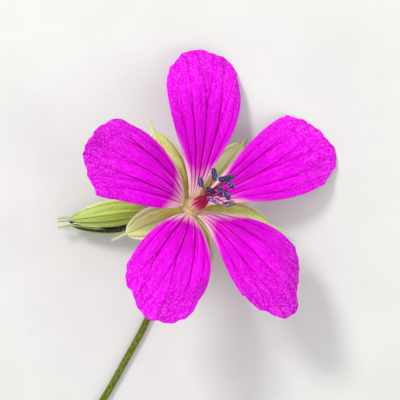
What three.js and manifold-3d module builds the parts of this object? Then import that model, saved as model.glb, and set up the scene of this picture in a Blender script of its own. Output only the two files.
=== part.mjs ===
// Marsh cranesbill: a cut stalk lying on a flat surface, with one open bloom and, beside it,
// a second flower whose calyx has closed again over its young fruit.
// Millimetres, +Z up. The stalk, the closed calyx and two petal tips touch z = 0.

import * as THREE from 'three';
import { mergeVertices } from 'three/addons/utils/BufferGeometryUtils.js';
import Module from 'manifold-3d';

const wasm = await Module();
wasm.setup();

const { sin, cos, abs, sqrt, exp, sign, max, min, hypot, PI } = Math;
const degrees = PI / 180;

// Where the whole plant stands: the foot of the bloom's middle, seen from the middle of the
// box round everything, so that the origin is at the bottom centre of that box.
const bloomFoot = [2.75, 11.9];

// How the bloom is held: its middle is this high, and it looks up and to the right.
const bloomHeight = 6.2;
const bloomTilt = 29;
const bloomFacing = 42;

// Clearance between pieces that touch in the living flower.
const gap = 0.15;

// Petals. Lengths and widths are along the blade. lift is the slope of the blade off the
// bloom's own plane, rise is what the claw adds to it and droop what the tip takes away, in
// degrees. bend carries the tip sideways. Each corner is a place across the tip, from -1 to 1,
// and how far the margin stands out there.
const petalThickness = 0.6;
const clawRadius = 1.7;
const clawHalfWidth = 0.7;
const petals = [
  {
    name: 'petal_top', azimuth: 83.5, length: 18.6, width: 9.6, flare: 1.25, shoulder: 0.7,
    bend: 0.4, skew: -0.05, blunt: 0.85, lift: 14, rise: 28, droop: 25.5, cup: 0.2, roll: 0.3,
    folds: 1.6, waves: 1.6, phase: 0.1, corners: [[-0.5, 0.5], [-0.1, -0.2], [0.6, -0.2]],
  },
  {
    name: 'petal_right', azimuth: 24.5, length: 18.3, width: 10, flare: 1.2, shoulder: 0.76,
    bend: 1.1, skew: -0.35, blunt: 1, lift: 13, rise: 28, droop: 15.5, cup: 0.2, roll: 0.15,
    folds: 1.5, waves: 1.4, phase: 0.6, corners: [[-0.7, -0.2], [0, -0.3]],
  },
  {
    name: 'petal_lower_right', azimuth: -43.5, length: 16.5, width: 9.9, flare: 1.25,
    shoulder: 0.64, bend: -1.6, skew: -0.2, blunt: 1.25, lift: 21, rise: 28, droop: 34,
    cup: 0.2, roll: 0.45, folds: 1.6, waves: 1.7, phase: 0.3,
    corners: [[-0.3, 0.5], [0.2, -0.8], [0.8, 0.5]],
  },
  {
    name: 'petal_lower_left', azimuth: -115, length: 17.1, width: 10, flare: 0.9,
    shoulder: 0.64, bend: -0.8, skew: 0.1, blunt: 1.05, lift: 21, rise: 28, droop: 32,
    cup: 0.15, roll: 0.3, folds: 1.7, waves: 1.5, phase: 0.8,
    corners: [[-0.4, -0.4], [0.2, -0.3], [1, -0.4]],
  },
  {
    name: 'petal_left', azimuth: 158.5, length: 15.8, width: 9.7, flare: 0.8, shoulder: 0.7,
    bend: 1.3, skew: -0.15, blunt: 1.1, lift: 27, rise: 28, droop: 32, cup: 0.2, roll: 0.25,
    folds: 1.5, waves: 1.8, phase: 0.45, corners: [[-0.8, 0.7], [-0.2, -0.4], [0.9, 0.5]],
  },
];
const foldHeight = 0.2;
const waveHeight = 0.3;

// Sepals of the open bloom: blade and bristle lengths, and the slope off the bloom's plane.
const sepalThickness = 0.6;
const sepalWidth = 3.7;
const sepalRadius = 1.37;
const sepalBack = -1;
const sepalBase = 1.2;
const sepals = [
  { name: 'sepal_upper_left', azimuth: 114, length: 9.1, bristle: 2, lift: 9, droop: 8 },
  { name: 'sepal_upper_right', azimuth: 51.5, length: 9.2, bristle: 1.2, lift: 8, droop: 6 },
  { name: 'sepal_right', azimuth: -11.5, length: 9.2, bristle: 2.2, lift: 8, droop: 9 },
  { name: 'sepal_lower', azimuth: -88, length: 8.8, bristle: 1.8, lift: 14, droop: 6 },
  { name: 'sepal_lower_left', azimuth: 204, length: 8.3, bristle: 2, lift: 5, droop: 4 },
];

// Stamens, in order round the column. at is the middle of the anther in the bloom's frame,
// heading turns it in the bloom's plane and nod tips one end of it up.
const columnRadius = 0.64;
const neck = [0.2, -0.15, 4.4];
const neckRadius = 0.46;
const firstFilament = -168;
const antherSize = [1.6, 0.78, 0.55];
const stamens = [
  { at: [-0.7, -0.7, 7.6], heading: -13, nod: -30 },
  { at: [-0.4, -1.8, 7.4], heading: -21, nod: 0 },
  { at: [0.2, -0.9, 8.4], heading: -92, nod: 0 },
  { at: [1.6, -2.1, 7.3], heading: 18, nod: 8 },
  { at: [1.2, -1.3, 8.1], heading: -90, nod: 25 },
  { at: [1.45, -0.2, 8.7], heading: -82, nod: 40 },
  { at: [2.1, 1.2, 7.7], heading: 29, nod: -45 },
  { at: [0.9, 0.7, 8.2], heading: -10, nod: 55 },
  { at: [-0.3, 1.2, 8.1], heading: -86, nod: 0 },
  { at: [-1.9, 0.3, 7.6], heading: -96, nod: 20 },
];

// Stalk. Routes are seen from the foot of the bloom's middle. The stalk's underside is
// pressed flat where it lies on the surface.
const stalkRadius = 0.42;
const pedicelRadius = 0.32;
const lyingHeight = 0.38;
const fork = [-3.75, -7.7, 0.5];
const stalkRoute = [
  fork,
  [-5.66, -14, lyingHeight],
  [-8.35, -19.1, lyingHeight],
  [-11.25, -24.2, lyingHeight],
  [-17.6, -33.6, lyingHeight],
  [-23.2, -43.2, lyingHeight],
];
const bractLength = 3.4;
const bractWidth = 0.9;

// Closed calyx of the second flower.
const calyxBase = [-5.5, -0.75, 2.24];
const calyxTip = [-14.7, -1.9, 1.92];
const calyxRadius = 2.05;
const calyxEndRadius = 0.8;
const calyxBristle = 2;
const calyxRoll = 10;

// Geometry helpers

function indexed(points, faces) {
  const geometry = new THREE.BufferGeometry();
  geometry.setAttribute('position', new THREE.Float32BufferAttribute(points.flat(), 3));
  geometry.setIndex(faces.flat());
  return geometry;
}

// Turns every face outward if the volume they enclose comes out negative.
function facingOut(points, faces) {
  let volume = 0;
  for (const [a, b, c] of faces) {
    const [p, q, r] = [points[a], points[b], points[c]];
    volume += p[0] * (q[1] * r[2] - q[2] * r[1]);
    volume += p[1] * (q[2] * r[0] - q[0] * r[2]);
    volume += p[2] * (q[0] * r[1] - q[1] * r[0]);
  }
  const outward = volume > 0 ? faces : faces.map(([a, b, c]) => [a, c, b]);
  return indexed(points, outward);
}

// A closed solid from rings of points, each ring with as many points as the next.
function loft(rings) {
  const sides = rings[0].length;
  const points = rings.flat();
  const faces = [];
  for (let ring = 0; ring + 1 < rings.length; ring += 1) {
    for (let side = 0; side < sides; side += 1) {
      const a = ring * sides + side;
      const b = ring * sides + ((side + 1) % sides);
      faces.push([a, b, b + sides], [a, b + sides, a + sides]);
    }
  }
  const last = (rings.length - 1) * sides;
  for (const [start, ring, turned] of [[0, rings[0], true], [last, rings.at(-1), false]]) {
    const middle = [0, 1, 2].map((axis) => ring.reduce((sum, p) => sum + p[axis], 0) / sides);
    const centre = points.push(middle) - 1;
    for (let side = 0; side < sides; side += 1) {
      const a = start + side;
      const b = start + ((side + 1) % sides);
      faces.push(turned ? [centre, b, a] : [centre, a, b]);
    }
  }
  return facingOut(points, faces);
}

// A blade of the given thickness. place(u, v) is its back, with u from -1 to 1 across and v
// from 0 to 1 along, and the front lies along the normal dv x du. Both faces are split alike.
function blade(place, thickness, columns, rows) {
  const step = 1e-4;
  const point = (u, v) => new THREE.Vector3(...place(u, v));
  const back = [];
  const front = [];
  for (let row = 0; row <= rows; row += 1) {
    for (let column = 0; column <= columns; column += 1) {
      const u = (2 * column) / columns - 1;
      const v = row / rows;
      const across = point(min(u + step, 1), v).sub(point(max(u - step, -1), v));
      const along = point(u, min(v + step, 1)).sub(point(u, max(v - step, 0)));
      const normal = along.cross(across).normalize();
      const here = point(u, v);
      back.push(here.toArray());
      front.push(here.addScaledVector(normal, thickness(v)).toArray());
    }
  }
  const width = columns + 1;
  const count = back.length;
  const faces = [];
  const rim = [];
  for (let column = 0; column < columns; column += 1) rim.push(column);
  for (let row = 0; row < rows; row += 1) rim.push(row * width + columns);
  for (let column = columns; column > 0; column -= 1) rim.push(rows * width + column);
  for (let row = rows; row > 0; row -= 1) rim.push(row * width);
  rim.forEach((a, place) => {
    const b = rim[(place + 1) % rim.length];
    faces.push([b, a, a + count], [b, a + count, b + count]);
  });
  for (let row = 0; row < rows; row += 1) {
    for (let column = 0; column < columns; column += 1) {
      const a = row * width + column;
      const c = a + width + 1;
      const split = column < columns / 2
        ? [[a, a + 1, c], [a, c, a + width]]
        : [[a, a + 1, a + width], [a + 1, c, a + width]];
      for (const [p, q, r] of split) {
        faces.push([p, q, r], [r + count, q + count, p + count]);
      }
    }
  }
  return facingOut(back.concat(front), faces);
}

// A round rod along a smooth curve through the points, with a radius that may change.
function rod(route, radius, sides, steps) {
  const curve = new THREE.CatmullRomCurve3(route.map((p) => new THREE.Vector3(...p)));
  const frames = curve.computeFrenetFrames(steps, false);
  const rings = [];
  for (let step = 0; step <= steps; step += 1) {
    const t = step / steps;
    const middle = curve.getPointAt(t);
    const ring = [];
    for (let side = 0; side < sides; side += 1) {
      const angle = (2 * PI * (side + 0.5)) / sides;
      const point = middle.clone();
      point.addScaledVector(frames.normals[step], radius(t) * cos(angle));
      point.addScaledVector(frames.binormals[step], radius(t) * sin(angle));
      ring.push(point.toArray());
    }
    rings.push(ring);
  }
  return loft(rings);
}

function joined(geometries) {
  const solids = geometries.map((geometry) => {
    const bare = geometry.clone();
    bare.deleteAttribute('normal');
    bare.deleteAttribute('uv');
    const merged = mergeVertices(bare, 1e-5);
    return new wasm.Manifold(new wasm.Mesh({
      numProp: 3,
      vertProperties: merged.attributes.position.array,
      triVerts: new Uint32Array(merged.index.array),
    }));
  });
  const mesh = solids.reduce((sum, solid) => sum.add(solid)).getMesh();
  const geometry = new THREE.BufferGeometry();
  geometry.setAttribute('position', new THREE.BufferAttribute(mesh.vertProperties, 3));
  geometry.setIndex(new THREE.BufferAttribute(mesh.triVerts, 1));
  return geometry;
}

function named(name, geometry, colour, roughness) {
  geometry.computeVertexNormals();
  const material = new THREE.MeshStandardMaterial({ color: colour, roughness, metalness: 0 });
  const mesh = new THREE.Mesh(geometry, material);
  mesh.name = name;
  return mesh;
}

// Carries a point across a blade, out along it and up off it to the bloom's frame.
function turned(azimuth, across, out, up) {
  const angle = azimuth * degrees;
  return [
    out * cos(angle) - across * sin(angle),
    out * sin(angle) + across * cos(angle),
    up,
  ];
}

// Petal

// The midrib seen from the side, as its distance out, its height and its slope at equal steps
// of the fraction s along the petal: the slope is lift + rise exp(-10 s) - droop s squared.
function midrib(petal) {
  const steps = 125;
  const line = [[clawRadius, 0, (petal.lift + petal.rise) * degrees]];
  for (let step = 1; step <= steps; step += 1) {
    const s = step / 100;
    const slope = (petal.lift + petal.rise * exp(-10 * s) - petal.droop * s * s) * degrees;
    const [out, up, before] = line.at(-1);
    const middle = (before + slope) / 2;
    const run = petal.length / 100;
    line.push([out + run * cos(middle), up + run * sin(middle), slope]);
  }
  return (s) => {
    const place = min(max(s, 0) * 100, steps - 1e-6);
    const low = Math.floor(place);
    const share = place - low;
    return [0, 1, 2].map((k) => line[low][k] * (1 - share) + line[low + 1][k] * share);
  };
}

// The outline widens from the claw as a sine of v to the power flare. Past the shoulder, rows
// bow out into the round tip, whose two ends are the blade's own edges.
function petalOutline(petal, u, v) {
  const widest = petal.width / 2;
  const grown = sin((PI / 2) * v ** petal.flare);
  const half = clawHalfWidth + (widest - clawHalfWidth) * grown;
  const su = sin((PI / 2) * u);
  const cu = max(cos((PI / 2) * u), 0);
  const arc = sign(su) * abs(su) ** petal.blunt;
  const tip = (1 - petal.shoulder) * petal.length;
  let across = half * ((1 - v * v) * u + v * v * arc);
  let along = v * petal.shoulder * petal.length;
  along += tip * cu ** petal.blunt * (1 + petal.skew * su) * v ** 1.6;
  let bump = 0;
  for (const [place, height] of petal.corners) {
    bump += height * exp(-(((u - place) / 0.2) ** 2)) * v ** 8;
  }
  const reach = hypot(arc * half, cu * tip) + 1e-9;
  across += (bump * arc * half) / reach;
  along += (bump * cu * tip) / reach;
  return [across, along];
}

// The blade is cupped near the claw and rolled back near the tip, with a few broad folds
// along it and a margin that waves more towards the tip.
function petalBack(petal) {
  const rib = midrib(petal);
  const widest = petal.width / 2;
  return (u, v) => {
    const [across, along] = petalOutline(petal, u, v);
    const s = along / petal.length;
    const [out, up, slope] = rib(s);
    const cross = ((across * across) / widest) * (petal.cup * (1 - s) - petal.roll * s);
    const fold = foldHeight * sin(PI * ((petal.folds * across) / widest + petal.phase))
      * sin(PI * min(s, 1));
    const turn = petal.waves * s + petal.phase + 0.25 * sign(u);
    const wave = waveHeight * abs(u) ** 3 * sin(2 * PI * turn) * s;
    const lifted = cross + fold + wave;
    return turned(
      petal.azimuth,
      across + petal.bend * s * s,
      out - lifted * sin(slope),
      up + lifted * cos(slope),
    );
  };
}

// Sepal: a boat-shaped blade with three ribs, drawn out into a bristle.
const bristleShare = 0.24;
const bristleHalfWidth = 0.17;

function sepalBackOf(sepal) {
  const half = sepalWidth / 2;
  return (u, v) => {
    const body = min(v / (1 - bristleShare), 1);
    const beyond = max(v - (1 - bristleShare), 0) / bristleShare;
    const length = sepal.length * body + sepal.bristle * beyond;
    const base = (sepalBase / 2 - bristleHalfWidth) * (1 - body) ** 3;
    const belly = (half - bristleHalfWidth) * sin(PI * body ** 1.15) ** 0.9;
    const width = bristleHalfWidth * (1 - 0.3 * beyond) + base + belly;
    const across = u * width;
    const slope = (sepal.lift - sepal.droop * body * body) * degrees;
    const hollow = 0.16 * sin(PI * body) * u * u;
    const rib = 0.08 * sin(PI * body) * cos(2 * PI * u);
    const up = sepalBack + length * sin(slope) + hollow - rib;
    return turned(sepal.azimuth, across, sepalRadius + length * cos(slope), up);
  };
}

// Receptacle: a short cone with five nectaries round its rim, each between two petals.
const receptacleBottom = -2;
const receptacleProfile = [
  [0.42, receptacleBottom], [0.6, -1.8], [0.95, -1.4], [1.12, -0.8], [1.16, -0.3],
  [1.02, -0.1], [0.84, -0.2], [0.4, -0.24],
];
const nectaryHeight = 0.32;

function receptacle() {
  const sides = 20;
  const between = sepals[0].azimuth;
  return loft(receptacleProfile.map(([radius, height], place) => {
    const ring = [];
    for (let side = 0; side < sides; side += 1) {
      const angle = (360 * side) / sides + between;
      const lobe = max(cos(5 * (angle - between) * degrees), 0);
      const swell = place === 5 ? nectaryHeight * lobe : 0;
      ring.push(turned(angle, 0, radius, height + swell));
    }
    return ring;
  }));
}

// Pistil: an ovary of five lobes, a slim style and five stigma lobes held together.
const pistilProfile = [
  [0.2, -0.09, 0], [0.32, 0.1, 0.1], [0.35, 0.5, 0.14], [0.26, 0.9, 0.12], [0.16, 1.3, 0],
  [0.12, 3.4, 0], [0.12, 4.8, 0], [0.16, 5.1, 0.2], [0.2, 5.5, 0.35], [0.1, 5.9, 0.3],
];

// The column leans a little, so its middle moves aside with height.
function leaning(height) {
  const share = max(height, 0) / neck[2];
  return [neck[0] * share, neck[1] * share];
}

function pistil() {
  const sides = 15;
  return loft(pistilProfile.map(([radius, height, lobes]) => {
    const ring = [];
    for (let side = 0; side < sides; side += 1) {
      const angle = (360 * side) / sides;
      const [x, y] = turned(angle, 0, radius * (1 + lobes * cos(5 * angle * degrees)), 0);
      ring.push([x + leaning(height)[0], y + leaning(height)[1], height]);
    }
    return ring;
  }));
}

// Anther: two long lobes side by side with a groove between them.
function anther() {
  const sides = 8;
  const rings = 5;
  const [length, width, depth] = antherSize;
  return loft(Array.from({ length: rings + 1 }, (_, ring) => {
    const t = -cos((PI * (ring + 0.35)) / (rings + 0.7));
    const fat = sqrt(max(1 - abs(t) ** 3, 0));
    return Array.from({ length: sides }, (_unused, side) => {
      const angle = (2 * PI * side) / sides;
      const y = (width / 2) * cos(angle) * fat;
      const groove = 1 - 0.35 * exp(-((cos(angle) / 0.35) ** 2));
      const z = (depth / 2) * sin(angle) * fat * groove;
      return [(length / 2) * t, y, z];
    });
  }));
}

// Filaments: ten, on one ring round the pistil, held close up to the neck and then spreading
// to the undersides of the anthers.
function filaments(anthers) {
  const ring = new THREE.LatheGeometry([
    new THREE.Vector2(columnRadius - 0.1, 0), new THREE.Vector2(columnRadius + 0.14, 0),
    new THREE.Vector2(columnRadius + 0.14, 0.5), new THREE.Vector2(columnRadius - 0.1, 0.5),
    new THREE.Vector2(columnRadius - 0.1, 0),
  ], 20).rotateX(PI / 2);
  const threads = anthers.map((mesh, place) => {
    const angle = firstFilament + 36 * place;
    const root = turned(angle, 0, columnRadius, 0.12);
    const [x, y] = turned(angle, 0, columnRadius - 0.06, 0);
    const [aside, back] = leaning(2.2);
    const lower = [x + aside, y + back, 2.2];
    const waist = turned(angle, 0, neckRadius, 0);
    const held = [neck[0] + waist[0], neck[1] + waist[1], neck[2]];
    mesh.updateMatrix();
    const reach = new THREE.Vector3(0, 0, -antherSize[2] / 2 - 0.22);
    const end = reach.applyMatrix4(mesh.matrix).toArray();
    const bow = [0, 1, 2].map((k) => held[k] + (end[k] - held[k]) * (k < 2 ? 0.42 : 0.62));
    const thin = (t) => 0.19 - 0.07 * t;
    return rod([root, lower, held, bow, end], thin, 5, 9);
  });
  return joined([ring, ...threads]);
}

// Stalk: the cut stalk, a swollen fork with four bracts, and the two flower stalks.
function pressedFlat(geometry) {
  const position = geometry.attributes.position;
  for (let k = 0; k < position.count; k += 1) position.setZ(k, max(position.getZ(k), 0));
  return geometry;
}

function bract(azimuth, slope) {
  const place = (u, v) => {
    const width = (bractWidth / 2) * (0.25 + 0.75 * sin(PI * (0.15 + 0.8 * v)));
    const out = v * bractLength;
    const [x, y] = turned(azimuth, u * width, out * cos(slope * degrees), 0);
    return [fork[0] + x, fork[1] + y, fork[2] - 0.2 + out * sin(slope * degrees)];
  };
  return blade(place, () => 0.6, 2, 5);
}

function stalk(bloomEnd, bloomAxis, calyxEnd, calyxAxis) {
  const route = [bloomEnd, bloomEnd.clone().addScaledVector(bloomAxis, -1.6)];
  const toBloom = rod([
    fork, [-3.2, -5.7, 0.8], [-2.2, -3.4, 1.5], route[1].toArray(), bloomEnd.toArray(),
  ], (t) => pedicelRadius + 0.1 * t ** 4, 8, 14);
  const leaving = calyxEnd.clone().addScaledVector(calyxAxis, -1.1);
  const toCalyx = rod([
    fork, [-4.3, -5.9, 0.7], [-4.5, -3.6, 1.2], leaving.toArray(), calyxEnd.toArray(),
  ], (t) => pedicelRadius + 0.28 * t ** 8, 8, 14);
  const main = pressedFlat(rod(stalkRoute, () => stalkRadius, 10, 24));
  const knuckle = new THREE.SphereGeometry(0.62, 10, 6).scale(1, 1.3, 0.8);
  knuckle.translate(...fork);
  const bracts = [[150, 8], [12, 10], [200, 30], [-25, 32]].map(([a, b]) => bract(a, b));
  return joined([main, toBloom, toCalyx, pressedFlat(knuckle), ...bracts]);
}

// Closed calyx: five sepals edge to edge round the young fruit, each with three ribs and a
// bristle. The radius grows as a sine of the way along it. z runs from its base to its tip.
function calyxRadiusAt(t) {
  return calyxEndRadius + (calyxRadius - calyxEndRadius) * sin(PI * t ** 0.8);
}

const calyxSpan = new THREE.Vector3(...calyxTip).sub(new THREE.Vector3(...calyxBase));
const closedSepalGap = 0.2;

function closedSepalBack(place) {
  const length = calyxSpan.length();
  return (u, v) => {
    const body = min(v / (1 - bristleShare), 1);
    const beyond = max(v - (1 - bristleShare), 0) / bristleShare;
    const radius = calyxRadiusAt(body) + 0.25 * beyond;
    const whole = (PI / 5) * radius - closedSepalGap / 2;
    const narrow = body < 0.7 ? 0 : ((body - 0.7) / 0.3) ** 2;
    const half = whole * (1 - narrow) + 0.2 * narrow;
    const angle = (72 * place + calyxRoll) * degrees + (u * half) / radius;
    const rib = 0.07 * sin(PI * body) * cos(2 * PI * u);
    const far = radius + rib;
    return [far * cos(angle), far * sin(angle), length * body + calyxBristle * beyond];
  };
}

function closedSepalThickness(v) {
  return v < 1 - bristleShare ? 0.6 : 0.5;
}

// The young fruit: five plump cells at the base and a beak that ends in a dark tip.
const fruitProfile = [
  [0.2, 0.7, 0], [0.5, 0.9, 0.06], [0.85, 1.6, 0.08], [1, 2.4, 0.1], [0.75, 3.2, 0.06],
  [0.45, 4.2, 0], [0.32, 6, 0], [0.2, 7.4, 0], [0.12, 8.6, 0], [0.12, 9.9, 0], [0.06, 10.2, 0],
];

function youngFruit() {
  const sides = 15;
  return loft(fruitProfile.map(([radius, height, lobes]) => {
    const ring = [];
    for (let side = 0; side < sides; side += 1) {
      const angle = (360 * side) / sides;
      ring.push(turned(angle, 0, radius * (1 + lobes * cos(5 * angle * degrees)), height));
    }
    return ring;
  }));
}

// The whole flower

const flower = new THREE.Group();
flower.position.set(bloomFoot[0], bloomFoot[1], 0);

const bloom = new THREE.Group();
bloom.position.set(0, 0, bloomHeight);
const facing = bloomFacing * degrees;
const hinge = new THREE.Vector3(-sin(facing), cos(facing), 0);
bloom.quaternion.setFromAxisAngle(hinge, bloomTilt * degrees);
flower.add(bloom);

bloom.add(named('receptacle', receptacle(), 0xb9c46a, 0.6));
bloom.add(named('pistil', pistil(), 0xb04a78, 0.5));
for (const petal of petals) {
  const shape = blade(petalBack(petal), () => petalThickness, 14, 12);
  bloom.add(named(petal.name, shape, 0xe600dc, 0.55));
}
for (const sepal of sepals) {
  const shape = blade(sepalBackOf(sepal), () => sepalThickness, 6, 9);
  bloom.add(named(sepal.name, shape, 0xa8b45a, 0.6));
}
const anthers = stamens.map(({ at, heading, nod }, place) => {
  const mesh = named(`anther_${place + 1}`, anther(), 0x2b3360, 0.7);
  mesh.position.set(...at);
  mesh.rotation.set(0, -nod * degrees, heading * degrees, 'ZYX');
  bloom.add(mesh);
  return mesh;
});
bloom.add(named('filaments', filaments(anthers), 0xb0004a, 0.5));

const calyx = new THREE.Group();
calyx.position.set(...calyxBase);
const calyxAxis = calyxSpan.clone().normalize();
calyx.quaternion.setFromUnitVectors(new THREE.Vector3(0, 0, 1), calyxAxis);
flower.add(calyx);
for (let place = 0; place < 5; place += 1) {
  const shape = blade(closedSepalBack(place), closedSepalThickness, 6, 10);
  calyx.add(named(`closed_calyx_sepal_${place + 1}`, shape, 0x9fb040, 0.6));
}
calyx.add(named('young_fruit', youngFruit(), 0x6a7030, 0.6));

const bloomAxis = new THREE.Vector3(0, 0, 1).applyQuaternion(bloom.quaternion);
const bloomEnd = new THREE.Vector3(0, 0, bloomHeight);
bloomEnd.addScaledVector(bloomAxis, receptacleBottom - gap);
const calyxEnd = new THREE.Vector3(...calyxBase).addScaledVector(calyxAxis, 0.12);
flower.add(named('stalk', stalk(bloomEnd, bloomAxis, calyxEnd, calyxAxis), 0x6f7f35, 0.7));

export default flower;
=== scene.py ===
# Marsh cranesbill: an open bloom and a closed calyx on one cut stalk, lying on a pale table.
# Shapes are worked out in millimetres and put into the meshes in metres.
from functools import partial
from math import radians

import bpy
import numpy as np
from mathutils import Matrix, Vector


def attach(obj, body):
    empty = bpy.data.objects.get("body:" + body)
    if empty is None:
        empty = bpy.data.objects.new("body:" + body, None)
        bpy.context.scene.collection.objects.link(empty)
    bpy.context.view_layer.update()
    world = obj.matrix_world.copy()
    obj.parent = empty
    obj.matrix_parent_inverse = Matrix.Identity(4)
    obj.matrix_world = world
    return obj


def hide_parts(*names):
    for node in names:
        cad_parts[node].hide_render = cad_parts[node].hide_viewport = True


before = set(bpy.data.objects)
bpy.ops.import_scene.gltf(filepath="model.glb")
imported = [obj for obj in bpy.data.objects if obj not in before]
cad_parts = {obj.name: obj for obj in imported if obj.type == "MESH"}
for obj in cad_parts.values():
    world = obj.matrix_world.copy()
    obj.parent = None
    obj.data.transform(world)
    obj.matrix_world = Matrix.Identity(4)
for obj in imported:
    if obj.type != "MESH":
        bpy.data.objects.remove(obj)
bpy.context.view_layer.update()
print("frame loaded")

mm = 0.001
tau = 2 * np.pi

# Where the flower stands, in millimetres from the middle of the table under it.
stand = {
    "bloomFoot": (2.75, 11.9, 0.0),  # foot of the bloom's middle
    "bloomHeight": 6.2,
    "bloomTilt": 29.0,        # degrees off level
    "bloomFacing": 42.0,      # the side it leans to
    "calyxBase": (-5.5, -0.75, 2.24),
    "calyxTip": (-14.7, -1.9, 1.92),
    "fork": (-3.75, -7.7, 0.5),
}


def unit(vectors):
    return vectors / np.linalg.norm(vectors, axis=-1, keepdims=True)


def clamp(x):
    return np.clip(x, 0, 1)


# 1 at nought, falling off on both sides: exp of minus the square of x over the width
def bell(x, width):
    return np.exp(-(x / width) ** 2)


# 0 at nought and at one, 1 halfway: the sine of x half turns
def arch(x):
    return np.sin(np.pi * x)


# Rotation about an axis: the identity, plus the sine of the angle times the matrix that
# crosses with the axis, plus one less the cosine times that matrix twice.
def turnAbout(axis, angle):
    x, y, z = unit(np.array(axis, float))
    skew = np.array([[0, -z, y], [z, 0, -x], [-y, x, 0]])
    return np.eye(3) + np.sin(angle) * skew + (1 - np.cos(angle)) * skew @ skew


facing = radians(stand["bloomFacing"])
bloomTurn = turnAbout((-np.sin(facing), np.cos(facing), 0), radians(stand["bloomTilt"]))
plantFoot = np.array(stand["bloomFoot"])
bloomMiddle = plantFoot + (0, 0, stand["bloomHeight"])
bloomAxis = bloomTurn[:, 2]

calyxFoot = plantFoot + stand["calyxBase"]
calyxSpan = np.subtract(stand["calyxTip"], stand["calyxBase"])
calyxLength = np.linalg.norm(calyxSpan)
calyxAxis = calyxSpan / calyxLength
calyxTurn = turnAbout(np.cross((0, 0, 1), calyxAxis), np.arccos(calyxAxis[2]))


def fromBloom(points):
    return points @ bloomTurn.T + bloomMiddle


def fromCalyx(points):
    return points @ calyxTurn.T + calyxFoot


# The camera looks straight down; the lamps stand round the bloom, each with its place, its
# watts and its size.
view = {
    "aim": (3.604, 12.632),   # straight below the camera
    "height": 306.2,
    "lens": 221.4,
    "sensor": 36,
    "sky": 0.84,
    "lamps": {
        "keyLight": ((-150, 190, 240), 0.63, 90),
        "fillLight": ((220, -60, 200), 0.12, 200),
    },
}


def putInScene(name, data):
    thing = bpy.data.objects.new(name, data)
    bpy.context.scene.collection.objects.link(thing)
    return thing


def makeStudio():
    scene = bpy.context.scene
    camera = putInScene("camera", bpy.data.cameras.new("camera"))
    camera.data.sensor_width = view["sensor"]
    camera.data.lens = view["lens"]
    camera.data.clip_start = 0.01
    camera.data.clip_end = 10
    camera.location = np.array((*view["aim"], view["height"])) * mm
    scene.camera = camera
    scene.view_settings.view_transform = "Standard"
    world = bpy.data.worlds.new("studio")
    world.use_nodes = True
    background = world.node_tree.nodes["Background"]
    background.inputs["Color"].default_value = (1, 1, 1, 1)
    background.inputs["Strength"].default_value = view["sky"]
    scene.world = world
    for name, (place, watts, size) in view["lamps"].items():
        lamp = bpy.data.lights.new(name, "AREA")
        lamp.shape = "DISK"
        lamp.size = size * mm
        lamp.energy = watts
        light = putInScene(name, lamp)
        light.location = np.array(place) * mm
        light.rotation_mode = "QUATERNION"
        light.rotation_quaternion = Vector(unit(place - bloomMiddle)).to_track_quat("Z", "Y")


# Puts points in millimetres, faces, and values over the surface into a new piece.
def makePiece(name, points, faces, finishes, slot, node=None, uvs=None, values=None,
              finishOf=None):
    if node:
        # what lies on the table is pressed flat there
        points = np.column_stack([points[:, :2], np.maximum(points[:, 2], 0)])
    mesh = bpy.data.meshes.new(name)
    lengths = np.concatenate([np.full(len(f), f.shape[1]) for f in faces])
    corners = np.concatenate([f.ravel() for f in faces])
    mesh.vertices.add(len(points))
    mesh.vertices.foreach_set("co", (points * mm).astype(np.float32).ravel())
    mesh.loops.add(len(corners))
    mesh.loops.foreach_set("vertex_index", corners.astype(np.int32))
    mesh.polygons.add(len(lengths))
    starts = np.concatenate([[0], np.cumsum(lengths)[:-1]])
    mesh.polygons.foreach_set("loop_start", starts.astype(np.int32))
    mesh.polygons.foreach_set("loop_total", lengths.astype(np.int32))
    mesh.polygons.foreach_set("use_smooth", np.full(len(lengths), True))
    for finish in finishes if isinstance(finishes, list) else [finishes]:
        mesh.materials.append(finish)
    if finishOf is not None:
        mesh.polygons.foreach_set("material_index", finishOf.astype(np.int32))
    mesh.update(calc_edges=True)
    for key, uv in (uvs or {}).items():
        layer = mesh.uv_layers.new(name=key)
        layer.data.foreach_set("uv", uv[corners].astype(np.float32).ravel())
    for key, value in (values or {}).items():
        mesh.attributes.new(key, "FLOAT", "POINT").data.foreach_set(
            "value", value.astype(np.float32).ravel())
    mesh.validate()
    piece = putInScene(name, mesh)
    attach(piece, "root")
    if node:
        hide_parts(node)


# Several parts that make up one mesh, each with its points, its four-sided faces, any
# three-sided ones and its UVs.
class Pile:
    def __init__(self):
        self.points, self.quads, self.tris, self.uvs = [], [], [], []
        self.count = 0

    def add(self, points, faces, uvs):
        self.points.append(points)
        for kept, new in zip((self.quads, self.tris), faces):
            kept.append(new + self.count)
        self.uvs.append(uvs)
        self.count += len(points)

    def make(self, name, finish, slot, node, uvName):
        points, quads, tris, uvs = (
            np.concatenate(part) for part in (self.points, self.quads, self.tris, self.uvs))
        makePiece(name, points, [quads, tris], finish, slot, node, uvs={uvName: uvs})


def leafGrid(rows, columns):
    v, u = np.meshgrid(np.linspace(0, 1, rows + 1), np.linspace(-1, 1, columns + 1),
                       indexing="ij")
    return u, v


# Faces of a closed leaf: its front, its back turned round, and a rim between the two.
def leafFaces(rows, columns):
    index = np.arange(rows * columns).reshape(rows, columns)
    quads = np.stack([index[:-1, :-1], index[1:, :-1], index[1:, 1:], index[:-1, 1:]],
                     -1).reshape(-1, 4)
    border = np.concatenate([index[0, :-1], index[:-1, -1], index[-1, :0:-1],
                             index[:0:-1, 0]])
    after = np.roll(border, -1)
    rim = np.stack([border, after, after + index.size, border + index.size], 1)
    return np.concatenate([quads, quads[:, ::-1] + index.size, rim])


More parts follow.
